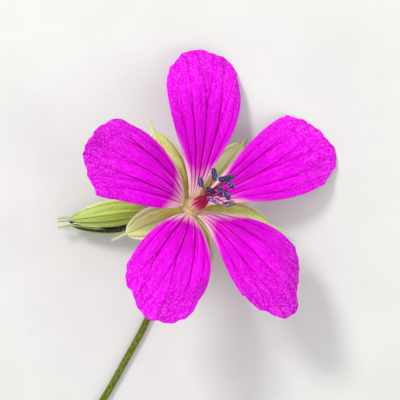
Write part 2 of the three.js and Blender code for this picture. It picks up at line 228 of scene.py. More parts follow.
# A leaf from grids of its front and back, in the frame that move leads out of. The UVs are
# a name and two grids, the values grids or single numbers, the same for front and back.
def makeLeaf(node, name, front, back, move, finish, slot, uvs, values):
    shape = front.shape[:2]
    points = move(np.concatenate([front.reshape(-1, 3), back.reshape(-1, 3)]))
    uvName, across, along = uvs
    uv = np.tile(np.stack([across, along], -1).reshape(-1, 2), (2, 1))
    makePiece(name, points, [leafFaces(*shape)], finish, slot, node, uvs={uvName: uv},
              values={key: np.tile(np.broadcast_to(value, shape).ravel(), 2)
                      for key, value in values.items()})


# A short step along a surface place(u, v), and the direction straight off it.
def stepAlong(place, u, v, step=1e-4):
    return place(u, np.minimum(v + step, 1)) - place(u, np.maximum(v - step, 0))


def normalsOf(place, u, v, step=1e-4):
    across = place(np.minimum(u + step, 1), v) - place(np.maximum(u - step, -1), v)
    return unit(np.cross(stepAlong(place, u, v, step), across))


# Draws the end of a blade's two faces in towards a point.
def drawToPoint(faces, v, start):
    close = clamp((v - start) / (1 - start))[..., None] ** 2
    for face in faces:
        face += (face[-1].mean(0) - face) * close * 0.75


# Points round an upright axis, each at its distance, angle and height.
def roundAxis(far, angle, up):
    return np.stack(np.broadcast_arrays(far * np.cos(angle), far * np.sin(angle), up), -1)


# Points of a tube: rings x sides x 3, then the middles of the first and last ring.
def tubePoints(rings):
    return np.concatenate([rings.reshape(-1, 3), [rings[0].mean(0)], [rings[-1].mean(0)]])


# Its faces between the rings, and those round the two middles.
def tubeFaces(rings, sides):
    index = np.arange(rings * sides).reshape(rings, sides)
    beside = np.roll(index, -1, 1)
    quads = np.stack([index[:-1], beside[:-1], beside[1:], index[1:]], -1).reshape(-1, 4)
    middle = np.full(sides, rings * sides)
    ends = np.concatenate([np.stack([middle, beside[0], index[0]], 1),
                           np.stack([middle + 1, index[-1], beside[-1]], 1)])
    return [quads, ends]


# Its UVs: one value for each side, one for each ring, and the pairs of the two middles.
def tubeUvs(around, along, ends):
    pairs = np.stack(np.meshgrid(around, along), -1).reshape(-1, 2)
    return np.concatenate([pairs, ends])


# A smooth curve through the points: each span is a cubic between two points whose slopes
# come from their neighbours, with the square root of the distance as time, and the whole is
# then spaced evenly by length.
def smoothRoute(points, steps):
    p = np.array(points, float)
    p = np.concatenate([[2 * p[0] - p[1]], p, [2 * p[-1] - p[-2]]])
    t = np.linspace(0, 1, 60, endpoint=False)[:, None]
    spans = []
    for k in range(len(p) - 3):
        a, b, c, d = p[k:k + 4]
        before, here, after = (np.linalg.norm(y - x) ** 0.5 for x, y in ((a, b), (b, c), (c, d)))
        leave = ((b - a) / before - (c - a) / (before + here) + (c - b) / here) * here
        reach = ((c - b) / here - (d - b) / (here + after) + (d - c) / after) * here
        spans.append(b + leave * t + (-3 * b + 3 * c - 2 * leave - reach) * t ** 2
                     + (2 * b - 2 * c + leave + reach) * t ** 3)
    curve = np.concatenate(spans + [p[-2:-1]])
    run = np.concatenate([[0], np.cumsum(np.linalg.norm(np.diff(curve, axis=0), axis=1))])
    even = np.linspace(0, run[-1], steps + 1)
    return np.stack([np.interp(even, run, curve[:, k]) for k in range(3)], 1)


# A profile carried along a path: at each step a ring of points round it, in the plane across
# the path, at radius(t, angle) from it. t runs from 0 to 1 along the path.
def carried(path, radius, sides, upright):
    along = unit(np.gradient(path, axis=0))
    aside = unit(np.cross(upright, along))
    over = np.cross(along, aside)
    angle = tau * (np.arange(sides) + 0.5) / sides
    t = np.linspace(0, 1, len(path))
    far = radius(t[:, None], angle[None, :]) * np.ones((len(path), sides))
    spokes = (np.cos(angle)[None, :, None] * aside[:, None, :]
              + np.sin(angle)[None, :, None] * over[:, None, :])
    return path[:, None, :] + far[..., None] * spokes


# A profile's numbers at evenly spread rings, after each ring's place among its points.
def spread(shape):
    profile = np.array(shape["profile"])
    run = np.linspace(0, len(profile) - 1, shape["rings"])[:, None]
    return run, *(np.interp(run, np.arange(len(profile)), column) for column in profile.T)


# A lobed profile turned round an axis: radius times 1 + lobes cos(5 angle).
def lobedRings(shape, middleAt=None):
    radius, height, lobes = spread(shape)[1:]
    angle = tau * np.arange(shape["sides"]) / shape["sides"]
    points = roundAxis(radius * (1 + lobes * np.cos(5 * angle)), angle, height)
    if middleAt:
        points[..., :2] += np.stack([middleAt(h)[:2] for h in height[:, 0]])[:, None]
    return points


# A piece from rings of points, closed at both ends.
def makeRound(node, name, rings, move, finish, slot, **more):
    makePiece(name, move(tubePoints(rings)), tubeFaces(*rings.shape[:2]), finish, slot, node,
              **more)


# Fine hairs, given as roots, directions and lengths: three-sided cones with one bend, each a
# ring at the root, a thinner one halfway that leans aside, and the tip. Those that would
# reach through the table are left out.
def makeHairs(name, hairs, finish, slot, radius, lean, seed):
    roots, aims, lengths = (np.concatenate(part) for part in zip(*hairs))
    dice = np.random.default_rng(seed)
    aims = unit(aims)
    other = unit(np.cross(aims, dice.normal(size=aims.shape)))
    third = np.cross(aims, other)
    angle = tau * np.arange(3) / 3
    ring = radius * (np.cos(angle)[None, :, None] * other[:, None, :]
                     + np.sin(angle)[None, :, None] * third[:, None, :])
    reach, aside = aims * lengths[:, None], other * lengths[:, None] * lean
    points = np.concatenate([
        roots[:, None] + ring,
        (roots + reach * 0.5 + aside * 0.35)[:, None] + ring * 0.7,
        (roots + reach + aside)[:, None],
    ], 1)
    points = points[points[:, :, 2].min(1) > 0.02].reshape(-1, 3)
    base = np.arange(0, len(points), 7)[:, None]
    quads = np.concatenate([base + q for q in ([0, 1, 4, 3], [1, 2, 5, 4], [2, 0, 3, 5])])
    tris = np.concatenate([base + q for q in ([3, 4, 6], [4, 5, 6], [5, 3, 6], [2, 1, 0])])
    makePiece(name, points, [quads, tris], finish, slot)


def tone(red, green, blue):
    # screen values 0 to 255 to the linear ones that shaders use
    c = np.array([red, green, blue]) / 255
    linear = np.where(c <= 0.04045, c / 12.92, ((c + 0.055) / 1.055) ** 2.4)
    return (*[float(x) for x in linear], 1.0)


def operator(kind, swapped=False):
    def apply(self, other):
        return self.finish.maths(kind, *((other, self) if swapped else (self, other)))
    return apply


class Value:
    # a number that varies over a surface; arithmetic on it adds Math nodes
    def __init__(self, finish, socket):
        self.finish, self.socket = finish, socket

    __add__ = operator("ADD")
    __radd__ = operator("ADD", True)
    __sub__ = operator("SUBTRACT")
    __rsub__ = operator("SUBTRACT", True)
    __mul__ = operator("MULTIPLY")
    __rmul__ = operator("MULTIPLY", True)
    __truediv__ = operator("DIVIDE")
    most = operator("MAXIMUM")
    least = operator("MINIMUM")

    def distance(self, other):
        return self.finish.maths("ABSOLUTE", self - other)

    def fraction(self):
        return self.finish.maths("FRACT", self)

    def ramp(self, low, high):
        # 0 at low, 1 at high, smooth between them
        node = self.finish.node("MapRange", {"interpolation_type": "SMOOTHSTEP"}, {
            "Value": self, "From Min": low, "From Max": high})
        return Value(self.finish, node.outputs["Result"])

    def fall(self, low, high):
        return 1 - self.ramp(low, high)

    def near(self, other, low, high):
        return self.distance(other).fall(low, high)


class Finish:
    # a material being made: its surface shader, the nodes that feed it, its colour so far
    def __init__(self, name, roughness, specular):
        self.material = bpy.data.materials.new(name)
        self.material.use_nodes = True
        self.tree = self.material.node_tree
        self.shader = self.tree.nodes["Principled BSDF"]
        self.colour = None
        self.set("Roughness", roughness)
        self.set("Specular IOR Level", specular)

    def set(self, key, value):
        self.feed(self.shader.inputs[key], value)

    def feed(self, socket, value):
        if isinstance(value, Value):
            value = value.socket
        if isinstance(value, bpy.types.NodeSocket):
            self.tree.links.new(value, socket)
        else:
            socket.default_value = value

    def node(self, kind, settings, inputs):
        made = self.tree.nodes.new("ShaderNode" + kind)
        for key, value in settings.items():
            setattr(made, key, value)
        for key, value in inputs.items():
            self.feed(made.inputs[key], value)
        return made

    def maths(self, operation, *values):
        made = self.node("Math", {"operation": operation}, dict(enumerate(values)))
        return Value(self, made.outputs[0])

    def mix(self, share, first, second):
        made = self.node("Mix", {"data_type": "RGBA"}, {0: share, 6: first, 7: second})
        return made.outputs[2]

    def ground(self, share, low, high):
        # the first colour, from low to high
        self.colour = self.mix(share, tone(*low), tone(*high))

    def coat(self, share, *colour):
        # a screen colour laid over the colour so far
        self.colour = self.mix(share, self.colour, tone(*colour))

    def painted(self):
        self.set("Base Color", self.colour)
        return self.material

    def bumped(self, height, depth, strength=0.6):
        bump = self.node("Bump", {}, {"Height": height, "Distance": depth,
                                      "Strength": strength})
        self.set("Normal", bump.outputs["Normal"])
        return self.painted()

    def place(self):
        # where on the object, in metres
        return self.node("TexCoord", {}, {}).outputs["Object"]

    def along(self, name):
        # a piece's own UV map as two numbers
        uv = self.node("UVMap", {"uv_map": name}, {}).outputs["UV"]
        parts = self.node("SeparateXYZ", {}, {"Vector": uv})
        return Value(self, parts.outputs[0]), Value(self, parts.outputs[1])

    def surface(self, name):
        made = self.node("Attribute", {"attribute_name": name}, {})
        return Value(self, made.outputs["Fac"])

    def joined(self, x, y, z=0.0):
        return self.node("CombineXYZ", {}, {0: x, 1: y, 2: z}).outputs[0]

    def noise(self, where, detail=3.0, scale=1.0, rough=0.55):
        if isinstance(where, tuple):
            where = self.joined(*where)
        made = self.node("TexNoise", {}, {
            "Vector": where, "Scale": scale, "Detail": detail, "Roughness": rough})
        return Value(self, made.outputs["Fac"])

    def grain(self, perMetre, detail=3.0, rough=0.55):
        return self.noise(self.place(), detail, perMetre, rough)

    def cells(self, where, scale, feature="F1"):
        made = self.node("TexVoronoi", {"feature": feature},
                         {"Vector": where, "Scale": scale})
        return Value(self, made.outputs["Distance"])


def hairFinish(name, low, high):
    f = Finish(name, 0.45, 0.3)
    f.ground(f.grain(900.0).ramp(0.35, 0.65), low, high)
    return f.painted()


# Petals. azimuth to droop give the blade's size and bend, as in the solid, and cup to phase its
# curl, folds and waves; corners are bumps of the margin, where and how high. veins are the
# main veins' places across the blade at the claw and at the tip, from -1 to 1, and ink how
# dark each is; pale is the claw's reach, its slant, its rise to the margins and its softness,
# rim how pale the two margins are near it, and the last list the painted shade and painted
# light on the skin: where across and along, how far they spread either way, and how strong
# they are, painted light where the strength is below nought.
petalBlade = {
    "clawRadius": 1.7,
    "clawHalfWidth": 0.7,
    "rise": 28,
    "cornerWidth": 0.2,
    "foldHeight": 0.2,
    "waveHeight": 0.3,
    "thickness": 0.17,
    "clawExtra": 0.2,         # the claw is this much thicker at the foot
    "clawReach": 0.66,        # how far the claw runs in to the receptacle, below the blade
    "clawRows": 8,
    "clawNarrowing": 0.33,
    "veinSpacing": 0.4,       # from vein to vein, against half the blade's width
    "veinGroove": 0.05,
    "grooveWidth": 0.16,
    "wrinkle": 0.1,
    "ripples": (0.03, 0.022),
    "notches": 0.07,          # small unevenness of the margin
    "marginWidth": 0.3,
    "seedStep": 3.7,          # between the noise of one petal and the next
    "columns": 112,
    "rows": 120,
}
petals = {
    "petal_top": dict(
        azimuth=83.5, length=18.6, width=9.6, flare=1.25, shoulder=0.7, bend=0.4,
        skew=-0.05, blunt=0.85, lift=14, droop=25.5, cup=0.2, roll=0.3,
        folds=1.6, waves=1.6, phase=0.1, corners=[(-0.5, 0.5), (-0.1, -0.2), (0.6, -0.2)],
        veins=[(-0.85, -0.82), (-0.55, -0.46), (-0.16, 0.0), (0.2, 0.42), (0.58, 0.7)],
        ink=(0.8, 1.05, 1.0, 1.0, 0.8), pale=(0.145, -0.02, 0.13, 0.09), rim=(0.5, 1.0),
        deep=[(0, 0.44, 1.4, 0.2, 0.5), (0.9, 0.5, 0.25, 0.3, 0.4), (-0.1, 0.8, 0.3, 0.1, -0.3)]),
    "petal_right": dict(
        azimuth=24.5, length=18.3, width=10, flare=1.2, shoulder=0.76, bend=1.1,
        skew=-0.35, blunt=1, lift=13, droop=15.5, cup=0.2, roll=0.15,
        folds=1.5, waves=1.4, phase=0.6, corners=[(-0.7, -0.2), (0, -0.3)],
        veins=[(-0.7, -0.78), (-0.4, -0.46), (0.0, 0.02), (0.42, 0.44), (0.74, 0.7)],
        ink=(0.6, 0.65, 0.75, 1.0, 0.7), pale=(0.1, 0.0, 0.25, 0.09), rim=(0.6, 0.4),
        deep=[(0.45, 0.4, 0.4, 0.25, 0.6), (-0.9, 0.6, 0.2, 0.2, 0.4)]),
    "petal_lower_right": dict(
        azimuth=-43.5, length=16.5, width=9.9, flare=1.25, shoulder=0.64, bend=-1.6,
        skew=-0.2, blunt=1.25, lift=21, droop=34, cup=0.2, roll=0.45,
        folds=1.6, waves=1.7, phase=0.3, corners=[(-0.3, 0.5), (0.2, -0.8), (0.8, 0.5)],
        veins=[(-0.7, -0.77), (-0.45, -0.46), (0.08, -0.12), (0.5, 0.38), (0.84, 0.76)],
        ink=(0.7, 0.75, 0.7, 0.75, 0.8), pale=(0.14, 0.06, 0.22, 0.09), rim=(1.0, 0.5),
        deep=[(0.15, 0.97, 0.5, 0.1, 1.0), (0.5, 0.5, 0.3, 0.2, -0.3),
              (0, 0.88, 1.4, 0.25, 0.35)]),
    "petal_lower_left": dict(
        azimuth=-115, length=17.1, width=10, flare=0.9, shoulder=0.64, bend=-0.8,
        skew=0.1, blunt=1.05, lift=21, droop=32, cup=0.15, roll=0.3,
        folds=1.7, waves=1.5, phase=0.8, corners=[(-0.4, -0.4), (0.2, -0.3), (1, -0.4)],
        veins=[(-0.9, -0.76), (-0.46, -0.48), (0.0, -0.03), (0.5, 0.48), (0.92, 0.74)],
        ink=(0.9, 1.0, 0.8, 0.9, 0.7), pale=(0.1, -0.05, 0.12, 0.08), rim=(0.3, 1.0),
        deep=[(0.78, 0.82, 0.28, 0.12, 0.9), (0.2, 0.58, 0.3, 0.2, -0.4),
              (-0.35, 0.92, 0.15, 0.1, 0.4)]),
    "petal_left": dict(
        azimuth=158.5, length=15.8, width=9.7, flare=0.8, shoulder=0.7, bend=1.3,
        skew=-0.15, blunt=1.1, lift=27, droop=32, cup=0.2, roll=0.25,
        folds=1.5, waves=1.8, phase=0.45, corners=[(-0.8, 0.7), (-0.2, -0.4), (0.9, 0.5)],
        veins=[(-0.86, -0.84), (-0.52, -0.53), (-0.2, 0.03), (0.16, 0.4), (0.4, 0.62)],
        ink=(1.1, 1.2, 0.8, 0.95, 0.8), pale=(0.14, 0.0, 0.12, 0.08), rim=(0.8, 0.0),
        deep=[(-0.1, 0.97, 0.3, 0.1, 0.8), (-0.55, 0.42, 0.25, 0.16, 0.6),
              (-0.95, 0.95, 0.2, 0.12, 0.8), (0.3, 0.7, 0.25, 0.14, -0.4),
              (0, 0.88, 1.4, 0.25, 0.35)]),
}


def pieceName(node):
    return node.replace("_", " ").title().replace(" ", "")


# From across a blade, out along it and up off it to the frame it grows in.
def turned(azimuth, across, out, up):
    angle = radians(azimuth)
    return np.stack([out * np.cos(angle) - across * np.sin(angle),
                     out * np.sin(angle) + across * np.cos(angle),
                     up * np.ones_like(out)], -1)


# The outline widens from the claw as a sine of v to the power flare; past the shoulder, rows
# bow out into the round tip, and small bumps stand out at the corners of the margin.
def petalOutline(petal, u, v):
    widest = petal["width"] / 2
    claw = petalBlade["clawHalfWidth"]
    half = claw + (widest - claw) * np.sin(np.pi / 2 * v ** petal["flare"])
    su, cu = np.sin(np.pi / 2 * u), np.maximum(np.cos(np.pi / 2 * u), 0)
    arc = np.sign(su) * np.abs(su) ** petal["blunt"]
    tip = (1 - petal["shoulder"]) * petal["length"]
    across = half * ((1 - v * v) * u + v * v * arc)
    along = v * petal["shoulder"] * petal["length"]
    along = along + tip * cu ** petal["blunt"] * (1 + petal["skew"] * su) * v ** 1.6
    bump = sum(height * bell(u - place, petalBlade["cornerWidth"])
               for place, height in petal["corners"])
    notches = np.sin(19 * u + 9 * petal["phase"]) + 0.7 * np.sin(37 * u + 5 * petal["phase"])
    bump = (bump + petalBlade["notches"] * notches) * v ** 8
    reach = np.hypot(arc * half, cu * tip) + 1e-9
    return across + bump * arc * half / reach, along + bump * cu * tip / reach, half


# The blade's back: its midrib's slope is lift + rise exp(-10 s) - droop s squared, its cross
# section is cupped near the claw and rolled back near the tip, with broad folds along it and
# a margin that waves.
def petalBack(petal, u, v):
    across, along = petalOutline(petal, u, v)[:2]
    length, widest, phase = petal["length"], petal["width"] / 2, petal["phase"]
    s = along / length
    steps = np.arange(126) / 100
    slopes = np.radians(petal["lift"] + petalBlade["rise"] * np.exp(-10 * steps)
                        - petal["droop"] * steps ** 2)
    middles = (slopes[1:] + slopes[:-1]) / 2
    runs, rises = (np.concatenate([[0], np.cumsum(part)]) * length / 100
                   for part in (np.cos(middles), np.sin(middles)))
    out, up, slope = (np.interp(s, steps, line)
                      for line in (petalBlade["clawRadius"] + runs, rises, slopes))
    cross = across ** 2 / widest * (petal["cup"] * (1 - s) - petal["roll"] * s)
    fold = arch(petal["folds"] * across / widest + phase) * arch(np.minimum(s, 1))
    turn = petal["waves"] * s + phase + 0.25 * np.sign(u)
    wave = np.abs(u) ** 3 * np.sin(tau * turn) * s
    lifted = cross + petalBlade["foldHeight"] * fold + petalBlade["waveHeight"] * wave
    return turned(petal["azimuth"], across + petal["bend"] * s * s,
                  out - lifted * np.sin(slope), up + lifted * np.cos(slope))


# How far across in veins: 0 and 6 at the margins, 1 to 5 on the main veins, straight between.
def veinPlace(petal, u, v):
    share = v ** 0.6
    knots = [-1.0] + [claw + (tip - claw) * share for claw, tip in petal["veins"]] + [1.0]
    return sum(clamp((u - low) / (high - low)) for low, high in zip(knots[:-1], knots[1:]))


def petalFinish():
    f = Finish("petalSkin", 0.62, 0.012)
    w, v = f.along("veins")
    w = w * 6
    seed = f.surface("petalSeed")
    spacing = f.surface("reach") * petalBlade["veinSpacing"]     # in millimetres
    sway = f.noise((w * 0.9, v * 6.0, seed), 2.0) - 0.5
    fine = f.noise((w * 8.0, v * 10.0, seed), 4.0) - 0.5

    # main veins, which fork past the middle of the blade
    bent = w + sway * 0.2
    vein = (bent + 0.5).fraction() - 0.5
    inside = w.ramp(0.3, 0.6) * w.fall(5.4, 5.7)
    start = f.maths("SINE", f.maths("FLOOR", bent + 0.5) * 2.3 + seed) * 0.09 + 0.55
    split = (v - start).most(0.0) * 0.75
    thick = (0.06 + 0.06 * v.ramp(0.0, 0.16)) * (1 - v * 0.45)
    onVein = (vein.distance(0.0).distance(split) * spacing / thick).fall(0.3, 1.35)
    strength = (0.6 + 0.4 * v.ramp(0.0, 0.12)) * (1 - v.ramp(0.45, 0.95) * 0.7)
    mainVein = onVein * strength * inside * f.surface("ink") * (0.92 + fine * 0.8)
    mainVein = mainVein.least(1.0).most(0.0)

    # veinlets between them, and a net of the finest ones towards the margin
    finer = w * 3 + sway * 1.3 + fine * 0.3
    veinlet = (finer + 0.5).fraction().distance(0.5).fall(0.03, 0.2)
    veinlet = (veinlet * v.ramp(0.3, 0.65) * (0.5 + fine * 1.8)).most(0.0)
    net = f.cells(f.joined(w * 3.0 + sway, v * 15.0 + sway, seed), 1.0,
                  "DISTANCE_TO_EDGE").fall(0.0, 0.13)

    # the skin itself: magenta with lighter and darker streaks and bands, partly its own tone and
    # partly painted shading of its folds, painted glints and sparkles towards the tip with darker
    # specks among them, and the painted shade and painted light of soft patches set for each petal
    streak = f.noise((w * 4.5, v * 4.0, seed))
    patch = f.noise((w * 0.7, v * 5.0, seed + 4), 2.0)
    band = f.noise((w * 1.6, v * 1.1, seed + 9), 2.0)
    speck = f.noise((w * 9.0, v * 55.0, seed), 2.0)
    glint = f.noise((w * 6.0 + sway * 3.0, v * 15.0 + sway * 4.0, seed + 6), 4.0, rough=0.62)
    grain = f.grain(6000.0, 2.0)
    deep = f.surface("deep")
    f.ground((streak * 0.65 + patch * 0.35).ramp(0.36, 0.62), (204, 0, 196), (230, 1, 228))
    f.coat(band.ramp(0.42, 0.6) * 0.45, 246, 6, 246)
    # painted shade, and painted light where the value is below nought
    f.coat(deep.most(0.0).least(0.9), 180, 0, 176)
    f.coat((deep * -1.0).most(0.0), 252, 24, 252)
    # painted highlights: glints and sparkles, strongest towards the tip, each with darker specks
    # beside it
    f.coat(glint.ramp(0.46, 0.74) * (v * v * 0.55 + 0.01), 252, 76, 252)
    f.coat(glint.fall(0.3, 0.48) * 0.24, 190, 0, 180)
    f.coat(speck.ramp(0.54, 0.72) * (v * v * 0.4 + 0.01), 252, 76, 252)
    f.coat(speck.fall(0.32, 0.46) * 0.2, 176, 0, 168)
    f.coat(grain.ramp(0.54, 0.66) * (v * v * v * 0.55), 254, 120, 254)
    f.coat(grain.fall(0.34, 0.46) * (v * v * 0.35), 184, 0, 190)
    f.coat(veinlet * 0.4, 180, 0, 158)
    f.coat(net * v.ramp(0.4, 0.75) * 0.2, 182, 0, 164)

    # deeper near the claw, with pale streaks that run out of it
    f.coat(v.fall(0.15, 0.6) * 0.45, 190, 0, 160)
    ray = f.noise((w * 6.0, v * 3.0, seed + 2))
    f.coat(ray.ramp(0.5, 0.68) * v.fall(0.12, 0.5) * 0.55, 246, 110, 232)

    # the claw, pale between its veins, and the margin beside it
    pale = f.surface("pale") + sway * 0.3 + fine * 0.5
    f.coat(pale.ramp(0.1, 0.6), 228, 126, 202)
    f.coat(pale.ramp(0.5, 1.0), 230, 184, 200)
    f.coat(v.fall(0.0, 0.06) * 0.8, 230, 214, 172)
    f.coat(f.surface("margin") * v.fall(0.2, 0.6) * 0.75, 244, 190, 214)
    veinColour = f.mix(v.ramp(0.02, 0.16), tone(168, 24, 88), tone(120, 0, 58))
    veinColour = f.mix(v.ramp(0.16, 0.5), veinColour, tone(130, 0, 84))
    f.colour = f.mix(mainVein * 0.95, f.colour, veinColour)
    return f.bumped(grain * 0.5 + speck * 0.7 + fine * 0.4 - mainVein - veinlet * 0.4, 0.00007)


# Rows below the blade carry the claw straight in and down its first slope to the receptacle,
# narrower towards the end.
def clawRowsBelow(petal, foot):
    slope = radians(petal["lift"] + petalBlade["rise"])
    inward = turned(petal["azimuth"], 0.0, -np.cos(slope), -np.sin(slope))
    share = np.linspace(1, 0, petalBlade["clawRows"], endpoint=False)[:, None, None]
    middle = foot.mean(0)
    narrowed = middle + (foot - middle)[None] * (1 - petalBlade["clawNarrowing"] * share)
    return narrowed + inward * petalBlade["clawReach"] * share


def makePetal(name, petal, number, finish):
    u, v = leafGrid(petalBlade["rows"], petalBlade["columns"])
    place = partial(petalBack, petal)
    # the claw's extra rows repeat the foot's values
    extra = petalBlade["clawRows"]
    normal, back = normalsOf(place, u, v), place(u, v)
    back = np.concatenate([clawRowsBelow(petal, back[0]), back])
    normal, u, v = (np.concatenate([np.repeat(part[:1], extra, 0), part])
                    for part in (normal, u, v))
    w = veinPlace(petal, u, v)
    half = petalOutline(petal, u, v)[2]
    inside = (w > 0.5) & (w < 5.5)
    # relief: veins lie in shallow grooves on a skin that quilts up between them
    beside = np.abs(w - np.round(w)) * half * petalBlade["veinSpacing"]
    groove = bell(beside, petalBlade["grooveWidth"]) * inside * clamp(v / 0.15) * (1 - 0.6 * v)
    long, short = petalBlade["ripples"]
    ripple = long * np.sin(tau * (w * 2.1 + 3.1 * v + number)) * v * v
    ripple += short * np.sin(tau * (7.3 * v + 1.7 * np.sin(w * 1.3 + number))) * v
    relief = (petalBlade["wrinkle"] * arch(w) ** 2 * arch(v) ** 0.7 + ripple
              - petalBlade["veinGroove"] * groove)
    thickness = petalBlade["thickness"] * (1 - 0.55 * np.abs(u) ** 8) * (1 - 0.5 * v ** 10)
    thickness += petalBlade["clawExtra"] * np.exp(-v / 0.07)
    edge = (1 - np.abs(u) ** 10) * (1 - v ** 12)
    lower = back + normal * (relief * edge * 0.9)[..., None]
    front = back + normal * (thickness + relief * edge)[..., None]

    reach, aside, rise, soft = petal["pale"]
    rim = clamp((np.abs(u) - 1) * half / petalBlade["marginWidth"] + 1)
    makeLeaf(name, pieceName(name), front, lower, fromBloom, finish, "petal", ("veins", w / 6, v), {
        "pale": clamp((reach + aside * u + rise * u * u - v) / soft / 2 + 0.5),
        "reach": half,
        "margin": rim * np.where(u < 0, petal["rim"][0], petal["rim"][1]),
        # soft patches of painted shade, and of painted light where the strength is below nought
        "deep": sum(strength * bell(u - across, wide) * bell(v - along, far)
                    for across, along, wide, far, strength in petal["deep"]),
        "ink": np.interp(w, np.arange(1, 6), petal["ink"]),
        "petalSeed": number * petalBlade["seedStep"],
    })


makeStudio()
print("camera and lights set")

petalSkin = petalFinish()
for number, (name, petal) in enumerate(petals.items()):
    makePetal(name, petal, number, petalSkin)
print("petals made")

# Sepals of the open bloom; warm is how ochre one is and pale how near to white, partly its own
# tone and partly painted light that lifts blades lying in the petals' shade, which also sets
# their painted glow; shoulder widens it near the foot, a smaller blunt draws it in to its
# bristle more suddenly, and sweep is how far aside the bristle bends.
sepalBlade = {
    "thickness": 0.22,
    "width": 3.7,
    "radius": 1.37,           # where a sepal starts, from the bloom's middle
    "back": -1.0,
    "base": 1.95,
    "share": 0.24,            # of its rows that the bristle takes
    "bristleHalfWidth": 0.17,
    "hollow": 0.16,
    "ribs": (0.08, 0.03),     # how far the ribs wave the blade, and how far they stand out
    "columns": 36,
    "rows": 90,
    "hairs": 150,
    "hairLengths": (0.25, 0.6),
    "hairShape": dict(radius=0.014, lean=0.25, seed=61),
}
sepals = {
    "sepal_upper_left": dict(azimuth=114, length=9.1, bristle=1.8, lift=9, droop=8, warm=0.85,
                             pale=0.3, shoulder=0, blunt=0.6, sweep=0),
    "sepal_upper_right": dict(azimuth=50, length=9.8, bristle=1.1, lift=8, droop=4, warm=0.0,
                              pale=1.0, shoulder=0, blunt=0.5, sweep=0.2),
    "sepal_right": dict(azimuth=-8, length=9.2, bristle=2.7, lift=8, droop=9, warm=0.5,
                        pale=0.25, shoulder=0, blunt=0.8, sweep=-0.55),
    "sepal_lower": dict(azimuth=-88, length=8.8, bristle=1.2, lift=14, droop=6, warm=0.15,
                        pale=0.1, shoulder=0.5, blunt=0.9, sweep=0),
    "sepal_lower_left": dict(azimuth=204, length=7.9, bristle=2.4, lift=5, droop=4, warm=0.1,
                             pale=0.55, shoulder=0, blunt=0.55, sweep=0.2),
}


# How far along a sepal's body and how far along its bristle, each from 0 to 1.
def bodyAndBristle(shape, v):
    share = shape["share"]
    return np.minimum(v / (1 - share), 1), np.maximum(v - (1 - share), 0) / share


# A boat-shaped blade with three ribs, drawn out into a bristle: its width grows as a sine
# along the body to a power that is smaller past the widest place, its slope falls off towards
# the tip.
def sepalBack(sepal, u, v):
    thin = sepalBlade["bristleHalfWidth"]
    body, beyond = bodyAndBristle(sepalBlade, v)
    length = sepal["length"] * body + sepal["bristle"] * beyond
    swell = np.maximum(arch(body ** 1.15), 0) ** np.where(body ** 1.15 < 0.5, 0.9, sepal["blunt"])
    width = (thin * (1 - 0.5 * beyond) + (sepalBlade["base"] / 2 - thin) * (1 - body) ** 2
             + (sepalBlade["width"] / 2 - thin) * swell
             + sepal["shoulder"] * bell(body - 0.25, 0.14))
    slope = np.radians(sepal["lift"] - sepal["droop"] * body ** 2)
    up = (sepalBlade["back"] + length * np.sin(slope) + sepalBlade["hollow"] * arch(body) * u * u
          - sepalBlade["ribs"][0] * arch(body) * np.cos(tau * u))
    return turned(sepal["azimuth"], u * width + sepal["sweep"] * beyond ** 1.3,
                  sepalBlade["radius"] + length * np.cos(slope), up)


def sepalFinish():
    f = Finish("sepalSkin", 0.55, 0.1)
    across, v = f.along("blade")
    u = across * 2 - 1
    hem = u.distance(0.0)
    warm = f.surface("warm")
    ribLine = (u * 1.5 + 0.5).fraction().distance(0.5).fall(0.02, 0.1)
    streak = f.noise((across * 7.0, v * 1.6, warm * 5), 4.0, 2.2)
    blotch = f.grain(700.0)
    grain = f.grain(6500.0, 2.0)
    # the pale share: the blades' own pale tone, and painted light for those in the petals' shade
    paleAndLit = f.surface("pale") * (0.5 + streak.ramp(0.3, 0.6) * 0.5) * v.ramp(0.1, 0.45)
    ochre = warm * (0.3 + blotch.ramp(0.35, 0.65)) * (1 - v.ramp(0.2, 0.8) * 0.6)
    f.ground(streak.ramp(0.32, 0.68), (180, 206, 52), (214, 236, 124))
    f.coat(v.fall(0.02, 0.4) * 0.7, 212, 232, 40)
    f.coat(ochre.least(1.0), 180, 160, 32)
    f.coat(paleAndLit, 242, 254, 180)
    f.coat(ribLine * 0.5, 148, 160, 34)
    # painted fold shadow: a thin dark line just inside each margin
    f.coat(hem.near(0.76, 0.0, 0.07) * 0.4, 124, 120, 40)
    f.coat(hem.ramp(0.78, 0.92) * v.fall(0.75, 0.8) * 0.75, 240, 244, 206)
    f.coat(v.ramp(0.72, 0.8) * 0.6, 222, 238, 170)
    # pale specks, painted as small highlights
    f.coat(grain.ramp(0.4, 0.75) * 0.35, 250, 252, 220)
    # painted glow: a weak emission stands in for the light that the palest blades let through, most
    # of it near their margins
    through = f.mix(hem.ramp(0.35, 0.9), tone(106, 196, 60), tone(200, 250, 196))
    f.set("Emission Color", f.mix(paleAndLit * (1 - ribLine * 0.8), tone(0, 0, 0), through))
    f.set("Emission Strength", 0.2)
    return f.bumped(grain * 0.6 + streak * 0.8 + ribLine, 0.00008)


